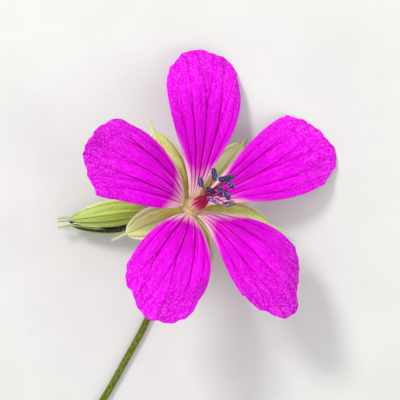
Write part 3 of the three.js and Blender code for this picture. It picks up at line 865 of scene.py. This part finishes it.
def makeSepal(name, sepal, number, finish):
    u, v = leafGrid(sepalBlade["rows"], sepalBlade["columns"])
    place = partial(sepalBack, sepal)
    normal, back = normalsOf(place, u, v), place(u, v)
    beyond = clamp((v - 1 + sepalBlade["share"]) / 0.05)
    oval = np.sqrt(clamp(1 - u * u))
    thickness = sepalBlade["thickness"] * (1 - 0.6 * np.abs(u) ** 4) * (1 - beyond)
    thickness += beyond * (0.06 + 0.2 * oval)
    rib = sepalBlade["ribs"][1] * np.cos(3 * np.pi * u) ** 8 * (1 - beyond) * arch(v)
    front = back + normal * (thickness + rib)[..., None]
    lower = back - normal * (beyond * oval * 0.05 + rib)[..., None]
    drawToPoint((front, lower), v, 0.96)
    makeLeaf(name, pieceName(name), front, lower, fromBloom, finish, "sepal",
             ("blade", (u + 1) / 2, v), {"warm": sepal["warm"], "pale": sepal["pale"]})
    # three hairs in four stand on the margins, pointing aside and ahead
    dice = np.random.default_rng(40 + number)
    count = sepalBlade["hairs"]
    hv = dice.uniform(0.03, 0.99, count)
    side = np.where(dice.random(count) < 0.5, -1.0, 1.0)
    hu = np.where(dice.random(count) < 0.75, side, side * dice.uniform(0.2, 1, count))
    roots = place(hu, hv) + normalsOf(place, hu, hv) * 0.1
    outward = unit(place(np.clip(hu + side * 1e-3, -1, 1), hv) - place(hu - side * 2e-3, hv))
    ahead = unit(stepAlong(place, hu, hv, 1e-3))
    aim = outward + ahead * 0.7 + dice.normal(size=(count, 3)) * 0.25
    return fromBloom(roots), aim @ bloomTurn.T, dice.uniform(*sepalBlade["hairLengths"], count)


sepalSkin = sepalFinish()
sepalHairs = [makeSepal(name, sepal, number, sepalSkin)
              for number, (name, sepal) in enumerate(sepals.items())]
paleHair = hairFinish("paleHair", (214, 218, 170), (240, 240, 220))
makeHairs("sepalHairs", sepalHairs, paleHair, "sepal", **sepalBlade["hairShape"])
print("sepals made")

# Receptacle: a short cone with five nectaries round its rim
receptacle = {
    "profile": [(0.42, -2.0), (0.6, -1.85), (1.0, -1.5), (1.4, -1.18), (1.44, -0.95),
                (1.24, -0.72), (1.12, -0.46), (0.96, -0.28), (0.8, -0.24), (0.4, -0.24)],
    "nectaryAt": 7,           # the point of the profile that they swell round
    "nectaryHeight": 0.15,
    "nectaryBulge": 0.05,
    "between": 114.0,         # where the first nectary stands
    "sides": 120,
    "rings": 70,
}


def receptacleFinish():
    f = Finish("receptacleSkin", 0.5, 0.15)
    lobe = f.surface("lobe")
    grain, blotch = f.grain(5200.0), f.grain(1300.0)
    f.ground(blotch.ramp(0.35, 0.65), (236, 212, 178), (216, 202, 140))
    f.coat(lobe * (0.2 + blotch * 0.6), 196, 200, 76)
    f.coat(grain.ramp(0.5, 0.66) * lobe * 0.4, 240, 240, 170)
    f.coat(blotch.fall(0.34, 0.46) * 0.25, 150, 140, 56)
    return f.bumped(grain, 0.00009, 0.8)


# The profile turned round the bloom's axis; the rim swells into five nectaries, each a
# rounded cosine lobe.
def makeReceptacle():
    run, radius, height = spread(receptacle)
    angle = tau * np.arange(receptacle["sides"]) / receptacle["sides"]
    lobe = np.maximum(np.cos(5 * angle), 0) ** 0.7
    swell = bell(run - receptacle["nectaryAt"], 0.75) * lobe
    rings = roundAxis(radius + receptacle["nectaryBulge"] * swell,
                      angle + radians(receptacle["between"]),
                      height + receptacle["nectaryHeight"] * swell)
    makeRound("receptacle", "receptacleCone", rings, fromBloom, receptacleFinish(),
              "receptacle", values={"lobe": np.append(swell, [0, 0])})


makeReceptacle()
print("receptacle made")

# Stamens: ten filaments joined in a ring, each with its anther
stamens = {
    "columnRadius": 0.64,     # where the filaments' middles stand at the foot
    "neck": (0.2, -0.15, 4.4),
    "neckRadius": 0.46,
    "inNeck": (0.08, 0.1),    # how far inside it the filaments and the sheath stand
    "underAnther": 0.16,      # from a filament's end to its anther
    "bow": 0.3,               # how far the column bows aside on its way to the neck
    "foot": 0.12,             # height of the filaments' roots
    "flare": (0.9, 0.16),     # where the column is widest, and by how much
    "hollow": (2.4, -0.06),   # where it is drawn in again, and by how much
    "sheath": (0.1, 3.9),     # how far it is closed, from its foot up
    "ringRadius": (0.62, 0.1),  # of the ring that joins the feet, and of its wall
    "ringHeight": (0.14, 0.16),  # of its middle, and of its wall above and below
    "ringSteps": (80, 24),    # round the ring, and round its wall
    "firstFilament": -168.0,
    "filamentSides": 14,
    "filamentSteps": 60,
    "filamentRadius": 0.17,
    "thinning": 0.095,        # how much thinner a filament is at its anther
    "antherSize": (1.6, 0.78, 0.55),
    "antherRings": 44,
    "antherSides": 48,
    "slim": 0.9,              # an anther's width against the solid's
    "uneven": 0.02,
    "pollenGrains": 120,
    "pollenRadius": 0.055,
    # middle of each anther, its heading and nod; opened ones show their lilac inside
    "anthers": [
        ((-0.7, -0.7, 7.6), -13, -30, 0.1), ((-0.4, -1.8, 7.4), -21, 0, 0.9),
        ((0.2, -0.9, 8.4), -92, 0, 0.1), ((1.6, -2.1, 7.3), 18, 8, 0.7),
        ((1.2, -1.3, 8.1), -90, 25, 0.1), ((1.45, -0.2, 8.7), -82, 40, 0.15),
        ((2.1, 1.2, 7.7), 29, -45, 0.1), ((0.9, 0.7, 8.2), -10, 55, 0.1),
        ((-0.3, 1.2, 8.1), -86, 0, 0.1), ((-1.9, 0.3, 7.6), -96, 20, 0.2),
    ],
}


# The column leans and bows: its middle moves aside in step with height, plus half a sine.
def columnMiddle(height):
    neck = stamens["neck"]
    share = max(height, 0) / neck[2]
    bow = stamens["bow"] * arch(min(share, 1))
    return np.array([neck[0] * share + bow, neck[1] * share, height])


# An anther's own axes in the bloom's frame: along it, across it and up through it.
def antherTurn(heading, nod):
    return turnAbout((0, 0, 1), radians(heading)) @ turnAbout((0, 1, 0), radians(-nod))


def filamentFinish():
    f = Finish("filamentSkin", 0.42, 0.2)
    around, t = f.along("thread")
    streak = f.noise((around * 46.0, t * 3.0))
    fade = t + (streak - 0.5) * 0.26
    f.ground(streak.ramp(0.35, 0.65), (118, 0, 50), (186, 0, 86))
    f.coat(fade.fall(0.12, 0.27), 216, 96, 140)
    f.coat(fade.fall(0.06, 0.2), 226, 200, 160)
    f.coat(t.ramp(0.5, 0.9) * 0.7, 214, 16, 96)
    return f.bumped(streak, 0.00005, 0.4)


# A filament thins as t to the power 0.7. Below it is broad and flat against the column, by a
# cosine of twice the angle that dies away with t.
def filamentRadius(t, angle):
    broad = 0.5 * np.exp(-t / 0.16)
    return ((stamens["filamentRadius"] - stamens["thinning"] * t ** 0.7)
            * (1 + broad * np.cos(2 * angle)))


def makeFilaments(finish):
    sides, steps = stamens["filamentSides"], stamens["filamentSteps"]
    column = stamens["columnRadius"]
    (wideAt, flare), (thinAt, hollow) = stamens["flare"], stamens["hollow"]
    held, closed = (stamens["neckRadius"] - inside for inside in stamens["inNeck"])
    under = np.array((0, 0, -stamens["antherSize"][2] / 2 - stamens["underAnther"]))
    pile = Pile()
    turn = np.sin(tau * np.arange(sides) / sides)
    for number, (at, heading, nod, _) in enumerate(stamens["anthers"]):
        azimuth = stamens["firstFilament"] + 36 * number
        out = turned(azimuth, 0.0, 1.0, 0.0)
        neck = out * held + stamens["neck"]
        end = antherTurn(heading, nod) @ under + at
        path = smoothRoute([
            out * column + (0, 0, stamens["foot"]),
            out * (column + flare) + columnMiddle(wideAt),
            out * (column + hollow) + columnMiddle(thinAt),
            neck,
            neck + (end - neck) * (0.42, 0.42, 0.62),
            end], steps)
        rings = carried(path, filamentRadius, sides, out)
        side = azimuth / 360 + 1
        pile.add(fromBloom(tubePoints(rings)), tubeFaces(steps + 1, sides),
                 tubeUvs(side + 16 * turn / 360, np.linspace(0, 1, steps + 1),
                         [[side, 0], [side, 1]]))
    # the sheath that their broad lower halves make, inside them
    low, high = stamens["sheath"]
    heights = np.linspace(low, high, 30)
    spoke = tau * np.arange(40) / 40
    wide = np.interp(heights, [low, wideAt, thinAt, high],
                     [column, column + flare - 0.01, column + hollow, closed])
    middles = np.stack([columnMiddle(height) for height in heights])
    sheath = middles[:, None] + roundAxis(wide[:, None], spoke, 0.0)
    pile.add(fromBloom(tubePoints(sheath)), tubeFaces(len(heights), len(spoke)),
             tubeUvs(spoke / tau, heights / 12, [[0, 0], [0, 0.3]]))
    # the ring that joins their feet: a rounded wall turned round the axis
    around, section = (tau * np.arange(count) / count for count in stamens["ringSteps"])
    (far, wall), (up, tall) = stamens["ringRadius"], stamens["ringHeight"]
    ring = roundAxis(far + wall * np.cos(section), around[:, None],
                     up + tall * np.sin(section)).reshape(-1, 3)
    index = np.arange(len(ring)).reshape(stamens["ringSteps"])
    beside, after = np.roll(index, -1, 0), np.roll(index, -1, 1)
    quads = np.stack([index, beside, np.roll(beside, -1, 1), after], -1).reshape(-1, 4)
    pile.add(fromBloom(ring), [quads], np.zeros((len(ring), 2)))
    pile.make("filamentColumn", finish, "filament", "filaments", "thread")


def antherFinish():
    f = Finish("antherSkin", 0.6, 0.35)
    opened, seam = f.surface("opened"), f.surface("seam")
    cell = f.cells(f.place(), 9000.0)
    blotch = f.grain(2600.0)
    f.ground(blotch.ramp(0.45, 0.57), (0, 0, 24), (20, 26, 122))
    f.coat(cell.fall(0.1, 0.4) * 0.2, 60, 72, 180)
    inner = f.mix(blotch.ramp(0.4, 0.58), tone(128, 66, 140), tone(232, 186, 226))
    f.colour = f.mix(opened * seam.fall(0.35, 0.6), f.colour, inner)
    f.coat(seam.ramp(0.4, 0.66) * 0.9, 12, 4, 34)
    return f.bumped(1 - cell, 0.00008, 0.8)


def pollenFinish():
    f = Finish("pollen", 0.5, 0.4)
    f.ground(f.grain(5000.0, 1.0).ramp(0.52, 0.57), (2, 2, 30), (160, 176, 248))
    return f.painted()


# Two long lobes side by side: an oval section pinched by a groove over and under, drawn in
# to the ends as the root of 1 less t to the power 3.2, with a slight notch halfway. Open
# anthers are flatter and narrower.
def antherSurface(t, angle, opened):
    length, width, depth = stamens["antherSize"]
    fat = np.sqrt(clamp(1 - np.abs(t) ** 3.2))
    groove = 1 - 0.42 * bell(np.cos(angle), 0.3)
    notch = 1 - 0.1 * bell(t, 0.15)
    y = stamens["slim"] * width / 2 * np.cos(angle) * fat * notch * (1 - 0.16 * opened)
    z = depth / 2 * np.sin(angle) * fat * groove * (1 - 0.2 * opened)
    x = length / 2 * t * (1 - 0.08 * bell(np.cos(angle), 0.35) * t * t)
    return np.stack([x, y, z], -1)


def makeAnthers(finish, pollen):
    rings, sides = stamens["antherRings"], stamens["antherSides"]
    grains = stamens["pollenGrains"]
    # a grain of pollen is six points and eight faces
    ball = np.array([(0, 0, 1), (1, 0, 0), (0, 1, 0), (-1, 0, 0), (0, -1, 0), (0, 0, -1)])
    ballFaces = np.array([(0, 1, 2), (0, 2, 3), (0, 3, 4), (0, 4, 1),
                          (5, 2, 1), (5, 3, 2), (5, 4, 3), (5, 1, 4)])
    quads, ends = tubeFaces(rings, sides)
    t = -np.cos(np.pi * (np.arange(rings) + 0.4) / (rings - 0.2))
    angle = tau * np.arange(sides) / sides
    seam = np.tile(np.maximum(np.abs(np.cos(angle)) ** 3, bell(np.cos(angle), 0.12)), rings)
    for number, (at, heading, nod, opened) in enumerate(stamens["anthers"]):
        dice = np.random.default_rng(100 + number)
        body = antherSurface(t[:, None], angle, opened)
        body = tubePoints(body * (1 + stamens["uneven"] * dice.normal(size=(rings, sides, 1))))
        # grains sit all over a closed anther, and along the edges of an open one
        gt, ga = dice.uniform(-0.95, 0.95, grains), dice.uniform(0, tau, grains)
        ga = np.where(dice.random(grains) < opened, np.round(ga / np.pi) * np.pi, ga)
        size = stamens["pollenRadius"] * dice.uniform(0.7, 1.15, grains)
        specks = antherSurface(gt, ga, opened)[:, None] + ball * size[:, None, None]
        speckFaces = (6 * np.arange(grains)[:, None, None] + ballFaces).reshape(-1, 3)
        points = np.concatenate([body, specks.reshape(-1, 3)])
        makePiece(f"anther{number + 1}",
                  fromBloom(points @ antherTurn(heading, nod).T + at),
                  [quads, np.concatenate([ends, speckFaces + len(body)])], [finish, pollen],
                  "anther", f"anther_{number + 1}",
                  values={"opened": np.full(len(points), opened),
                          "seam": np.concatenate([seam, [1, 1], np.zeros(6 * grains)])},
                  finishOf=np.repeat([0, 1], [len(quads) + len(ends), len(speckFaces)]))


makeFilaments(filamentFinish())
makeAnthers(antherFinish(), pollenFinish())
print("stamens made")

# Pistil: lobed ovary, slim style and five stigma lobes held together
pistil = {
    "profile": [(0.2, -0.09, 0), (0.32, 0.1, 0.1), (0.35, 0.5, 0.14), (0.26, 0.9, 0.12),
                (0.16, 1.3, 0), (0.12, 3.4, 0), (0.12, 4.8, 0), (0.16, 5.1, 0.2),
                (0.2, 5.5, 0.35), (0.1, 5.9, 0.3)],
    "sides": 60,
    "rings": 90,
}


def pistilFinish():
    f = Finish("pistilSkin", 0.5, 0.35)
    patch = f.grain(1800.0, 4.0)
    f.ground(patch.ramp(0.3, 0.7), (150, 40, 90), (196, 90, 130))
    f.set("Roughness", patch * 0.2 + 0.4)
    return f.bumped(f.grain(7200.0, 2.0), 0.00005)


makeRound("pistil", "pistilWhole", lobedRings(pistil, columnMiddle), fromBloom,
          pistilFinish(), "pistil")
print("pistil made")

# Closed calyx: five ribbed sepals edge to edge round the young fruit. The first overlaps the
# fifth, which draws back from it, so a dark gap shows between the two.
calyx = {
    "overlap": (1.15, 1.12),  # how much wider the first one's lower and upper halves are
    "drawnBack": 0.52,        # the fifth one's upper half against its lower half
    "radius": 2.05,
    "endRadius": 0.88,
    "mouth": 0.36,            # how far the mouth is drawn in
    "mouthAt": 0.88,          # where along its body a sepal starts to narrow to its bristle
    "longer": 0.35,           # how far the bodies run on past the solids' ends
    "bristle": 1.7,
    "tipTwist": 14.0,         # degrees that the tips turn aside
    "roll": 10.0,
    "gap": 0.2,
    "share": 0.24,            # of a sepal's rows that its bristle takes
    "thickness": 0.3,
    "lips": (0.14, 0.12),     # how far the first one's margins stand off, and the fifth one's in
    "ribs": (0.07, 0.045),    # as on the open bloom's sepals
    "bristleHalfWidth": 0.09,
    "columns": 40,
    "rows": 110,
    "hairs": 260,
    "hairLengths": (0.2, 0.5),
    "hairShape": dict(radius=0.014, lean=0.25, seed=71),
}


# Each sepal covers a fifth of the way round; the radius grows as a sine along the calyx and
# is drawn in at the mouth, where the sepal narrows to its bristle.
def closedSepal(number, u, v):
    body, beyond = bodyAndBristle(calyx, v)
    hump = arch(body)
    belly = (calyx["radius"] - calyx["endRadius"]) * np.maximum(arch(body ** 0.8), 0)
    radius = calyx["endRadius"] + belly - calyx["mouth"] * body ** 20 + 0.1 * beyond
    narrow = clamp((body - calyx["mouthAt"]) / (1 - calyx["mouthAt"])) ** 2
    half = ((np.pi / 5 * radius - calyx["gap"] / 2) * (1 - narrow)
            + (calyx["bristleHalfWidth"] - 0.04 * beyond) * narrow)
    lip = 0.0
    off, inward = calyx["lips"]
    if number == 0:
        half = half * (1 + (np.where(u < 0, *calyx["overlap"]) - 1) * hump)
        lip = off * u * u * hump
    if number == 1:
        lip = -off * clamp(-u) ** 2 * hump
    if number == 4:
        half = half * np.where(u > 0, 1 + (calyx["drawnBack"] - 1) * hump, 1)
        lip = -inward * clamp(u) * hump
    angle = (radians(72 * number + calyx["roll"]) + u * half / radius
             + radians(calyx["tipTwist"]) * body ** 12)
    return roundAxis(radius + lip + calyx["ribs"][0] * hump * np.cos(tau * u), angle,
                     (calyxLength + calyx["longer"]) * body + calyx["bristle"] * beyond)


def closedFinish():
    f = Finish("closedCalyxSkin", 0.55, 0.15)
    across, v = f.along("blade")
    u = across * 2 - 1
    bent = u + (f.noise((across * 2.0, v * 2.0), 2.0) - 0.5) * 0.12
    midrib = bent.near(0.09, 0.0, 0.16)
    lowerRib = bent.near(-0.56, 0.0, 0.16)
    upperRib = bent.near(0.6, 0.0, 0.12) * 0.35
    lit = bent.distance(0.22).least(bent.distance(-0.42)).fall(0.0, 0.1)
    streak = f.noise((across * 7.0, v * 1.5), 4.0, 2.6)
    grain = f.grain(6500.0, 2.0)
    shade = f.surface("shade")
    f.ground(streak.ramp(0.3, 0.7), (142, 170, 46), (178, 200, 84))
    f.coat(v.ramp(0.2, 0.7) * 0.5, 196, 220, 132)
    f.coat(v.fall(0.0, 0.3) * 0.7, 142, 160, 12)
    f.coat(bent.near(-0.15, 0.15, 0.4) * v.fall(0.2, 0.55) * 0.5, 140, 150, 4)
    f.coat((midrib + lowerRib + upperRib).least(1.0) * 0.8, 104, 128, 8)
    f.coat(lit * 0.55, 206, 226, 96)
    f.coat(u.distance(0.0).ramp(0.86, 1.0) * 0.5, 214, 232, 150)
    f.coat(shade.most(0.0).least(0.4), 40, 66, 0)
    f.coat(shade.ramp(0.4, 1.0), 16, 18, 2)
    f.coat((shade * -1.0).most(0.0), 238, 250, 196)
    f.coat(v.ramp(0.76, 0.86) * 0.5, 206, 214, 130)
    f.coat(v.ramp(0.97, 1.0) * 0.7, 160, 110, 60)
    f.coat(grain.ramp(0.4, 0.75) * 0.2, 226, 236, 170)
    return f.bumped(grain * 0.5 + streak * 0.5 + lit * 0.6 - midrib - lowerRib, 0.00012, 0.7)


# The fifth sepal and the first one's lower lip are painted dark where they stay in each other's
# shade, every margin is painted a little darker, and the first one deepens towards the fifth
# with painted shade; the second one's back has painted light where it catches the light, and so
# has the first one's lip further out. The fifth one's thin pale upper margin is its own colour.
def shadeOn(number, u, v):
    shade = 0.15 * bell(1 - np.abs(u), 0.05) * bell(v, 0.5)
    if number == 0:
        lip = np.where(v < 0.48, 1.0, -0.7)
        shade = np.where(u < 0, lip * clamp((-u - 0.93) / 0.05), shade)
        shade = shade + 0.32 * clamp((0.3 - u) / 1.1)
    if number == 1:
        shade = shade - 0.9 * bell(u - 0.1, 0.3) * clamp(v / 0.15)
    if number == 4:
        shade = clamp((u + 0.05) / 0.15) * 0.8 + 0.25
        shade = shade - 1.5 * clamp((u - 0.92) / 0.04) * clamp((v - 0.42) / 0.1)
    return shade * clamp((0.8 - v) / 0.06)


def makeClosedCalyx():
    finish = closedFinish()
    u, v = leafGrid(calyx["rows"], calyx["columns"])
    body = bodyAndBristle(calyx, v)[0]
    beyond = clamp((v - 1 + calyx["share"]) / 0.05)
    oval = np.sqrt(clamp(1 - u * u))
    rib = calyx["ribs"][1] * np.cos(3 * np.pi * u) ** 6 * arch(clamp(v / 0.9)) * (1 - beyond)
    thick = calyx["thickness"] * (1 - 0.5 * np.abs(u) ** 6) * (1 - 0.6 * body ** 6)
    thick = thick * (1 - beyond) + beyond * (0.03 + 0.11 * oval)
    hairs = []
    for number in range(5):
        place = partial(closedSepal, number)
        inward = normalsOf(place, u, v)
        outer = place(u, v) - inward * rib[..., None]
        inner = outer + inward * thick[..., None]
        drawToPoint((outer, inner), v, 0.95)
        makeLeaf(f"closed_calyx_sepal_{number + 1}", f"closedCalyxSepal{number + 1}", inner,
                 outer, fromCalyx, finish, "closed_calyx", ("blade", (u + 1) / 2, v),
                 {"shade": shadeOn(number, u, v)})
        dice = np.random.default_rng(70 + number)
        count = calyx["hairs"]
        hu, hv = dice.uniform(-1, 1, count), dice.uniform(0.01, 0.99, count)
        if number == 4:
            hu = -np.abs(hu)      # none in the dark gap
        aim = unit(stepAlong(place, hu, hv, 1e-3)) * 0.6 - normalsOf(place, hu, hv)
        aim = aim + dice.normal(size=(count, 3)) * 0.25
        hairs.append((fromCalyx(place(hu, hv)), aim @ calyxTurn.T,
                      dice.uniform(*calyx["hairLengths"], count)))
    makeHairs("calyxHairs", hairs, paleHair, "closed_calyx", **calyx["hairShape"])


makeClosedCalyx()

youngFruit = {
    "profile": [(0.2, 0.7, 0), (0.5, 0.9, 0.06), (0.85, 1.6, 0.08), (1, 2.4, 0.1),
                (0.75, 3.2, 0.06), (0.45, 4.2, 0), (0.32, 6, 0), (0.2, 7.4, 0),
                (0.14, 8.6, 0), (0.2, 9.2, 0), (0.26, 9.6, 0), (0.12, 9.9, 0)],
    "sides": 60,
    "rings": 120,
    "length": 10.2,
}


def fruitFinish():
    f = Finish("youngFruitSkin", 0.5, 0.3)
    patch = f.grain(1500.0, 4.0)
    f.ground(patch.ramp(0.3, 0.7), (84, 96, 34), (120, 126, 56))
    f.coat(f.surface("alongFruit").ramp(0.74, 0.86), 20, 14, 16)
    f.set("Roughness", patch * 0.2 + 0.5)
    return f.bumped(patch, 0.00008)


rings = lobedRings(youngFruit)
makeRound("young_fruit", "youngFruitWhole", rings, fromCalyx, fruitFinish(), "young_fruit",
          values={"alongFruit": np.append(rings[..., 2] / youngFruit["length"], [0, 1])})
print("closed calyx made")

# Stalk: the cut stalk, its fork with four bracts, and the two flower stalks. Each of the
# three tubes has its steps along, its sides, radius and ridges, how much it swells at its
# end and how suddenly, and its share of the hairs.
stalk = {
    "lying": 0.38,            # height of the cut stalk's middle
    "route": [(-5.66, -14), (-8.35, -19.1), (-11.25, -24.2), (-17.6, -33.6), (-23.2, -43.2)],
    "toBloom": [(-3.2, -5.7, 0.8), (-2.2, -3.4, 1.5)],
    "toCalyx": [(-4.3, -5.9, 0.7), (-4.5, -3.6, 1.2)],
    "receptacleBottom": -2.15,
    "upright": (0.35, -0.2, 1.0),
    "tubes": [
        dict(steps=300, sides=40, radius=0.42, ridge=0.035, swell=0.0, power=1, hairs=0.55),
        dict(steps=140, sides=32, radius=0.32, ridge=0.02, swell=0.1, power=4, hairs=0.2),
        dict(steps=140, sides=32, radius=0.32, ridge=0.02, swell=0.28, power=8, hairs=0.25),
    ],
    "forkSize": (0.62, 0.806, 0.496),  # how far the swollen fork reaches each way
    "bractLength": 3.4,
    "bractWidth": 0.9,
    "bracts": [(150, 8), (12, 10), (200, 30), (-25, 32)],  # heading and slope
    "hairs": 1200,
    "hairLengths": (0.12, 0.34),
    "hairShape": dict(radius=0.011, lean=0.3, seed=91),
}


def stalkFinish():
    f = Finish("stalkSkin", 0.55, 0.15)
    around, along = f.along("round")
    patch = f.grain(1500.0, 4.0, 0.6)
    speck = f.grain(4800.0, 2.0)
    flake = f.noise((around * 3.0, along * 150.0), 2.0, 2.0)
    streak = f.noise((around * 5.0, along * 60.0), 3.0, 2.0)
    f.ground(streak.ramp(0.35, 0.65), (74, 92, 4), (106, 126, 16))
    f.coat(patch.ramp(0.48, 0.6) * 0.4, 104, 84, 22)
    f.coat(flake.ramp(0.5, 0.62) * 0.5, 56, 62, 4)
    f.coat(flake.fall(0.34, 0.44) * 0.5, 146, 162, 50)
    f.coat(speck.ramp(0.52, 0.64) * 0.7, 46, 50, 4)
    f.coat(speck.fall(0.34, 0.44) * 0.5, 150, 160, 56)
    return f.bumped(speck * 0.7 + streak * 0.8, 0.00010, 0.7)


def stalkRoutes(fork):
    bloomEnd = bloomMiddle + bloomAxis * stalk["receptacleBottom"]
    calyxEnd = calyxFoot + calyxAxis * 0.12
    return (
        [fork] + [plantFoot + (x, y, stalk["lying"]) for x, y in stalk["route"]],
        [fork] + [plantFoot + p for p in stalk["toBloom"]] + [bloomEnd - bloomAxis * 1.6, bloomEnd],
        [fork] + [plantFoot + p for p in stalk["toCalyx"]] + [calyxEnd - calyxAxis * 1.1, calyxEnd],
    )


# A narrow blade: its width is a quarter plus three quarters of a sine along it, drawn in over
# the last fifth, and its section rises with u squared, so it is hollow along the midrib.
def bractBack(foot, azimuth, slope, u, v):
    width = stalk["bractWidth"] / 2 * (0.25 + 0.75 * arch(0.15 + 0.8 * v))
    width = width * (1 - clamp((v - 0.8) / 0.2) ** 2 * 0.8)
    out = v * stalk["bractLength"]
    return foot + turned(azimuth, u * width, out * np.cos(slope),
                         out * np.sin(slope) - 0.2 + 0.15 * u * u)


def makeStalk():
    fork = plantFoot + stand["fork"]
    pile, hairs = Pile(), []
    dice = np.random.default_rng(90)
    for tube, route in zip(stalk["tubes"], stalkRoutes(fork)):
        steps, sides = tube["steps"], tube["sides"]

        def radius(t, angle, tube=tube):
            return (tube["radius"] + tube["swell"] * t ** tube["power"]
                    + tube["ridge"] * (np.cos(5 * angle) - 1))

        path = smoothRoute(route, steps)
        rings = carried(path, radius, sides, stalk["upright"])
        rings[..., 2] = np.maximum(rings[..., 2], 0)
        pile.add(tubePoints(rings), tubeFaces(steps + 1, sides),
                 tubeUvs(np.abs(np.linspace(-1, 1, sides)), np.linspace(0, 1, steps + 1),
                         [[0, 0], [0, 1]]))
        count = int(stalk["hairs"] * tube["hairs"])
        ring = dice.integers(2, steps - 2, count)
        roots = rings[ring, dice.integers(0, sides, count)]
        aim = unit(roots - path[ring]) + dice.normal(size=(count, 3)) * 0.3
        aim = aim - np.gradient(path, axis=0)[ring] * 0.8
        hairs.append((roots, aim, dice.uniform(*stalk["hairLengths"], count)))
    # the swollen fork, a ball drawn out along the stalk
    height = np.linspace(0.02, np.pi - 0.02, 30)[:, None]
    around = tau * np.arange(40) / 40
    ball = roundAxis(np.sin(height), around, -np.cos(height)) * stalk["forkSize"] + fork
    points = tubePoints(ball)
    pile.add(points, tubeFaces(*ball.shape[:2]), np.full((len(points), 2), 0.3))
    u, v = leafGrid(30, 12)
    for azimuth, slope in stalk["bracts"]:
        place = partial(bractBack, fork, azimuth, radians(slope))
        back = place(u, v)
        thick = 0.16 + 0.1 * (1 - np.abs(u)) * (1 - v)
        front = back + normalsOf(place, u, v) * thick[..., None]
        points = np.concatenate([front.reshape(-1, 3), back.reshape(-1, 3)])
        pile.add(points, [leafFaces(*u.shape)], np.full((len(points), 2), 0.6))
    pile.make("stalkWhole", stalkFinish(), "stalk", "stalk", "round")
    stalkHair = hairFinish("stalkHair", (112, 120, 40), (166, 174, 88))
    makeHairs("stalkHairs", hairs, stalkHair, "stalk", **stalk["hairShape"])


makeStalk()
print("stalk made")

# Table: one flat sheet just below the flower, in metres
table = {
    "halfWidth": 1.5,
    "height": -0.00002,
}


def makeFloor():
    f = Finish("tableTop", 0.7, 0.2)
    f.ground(f.grain(120.0, 4.0).ramp(0.3, 0.7), (213, 213, 210), (218, 218, 215))
    mesh = bpy.data.meshes.new("tableTop")
    corners = [(x * table["halfWidth"], y * table["halfWidth"], table["height"])
               for x, y in ((-1, -1), (1, -1), (1, 1), (-1, 1))]
    mesh.from_pydata(corners, [], [(0, 1, 2, 3)])
    mesh.materials.append(f.painted())
    putInScene("tableTop", mesh)


makeFloor()
print("floor made")
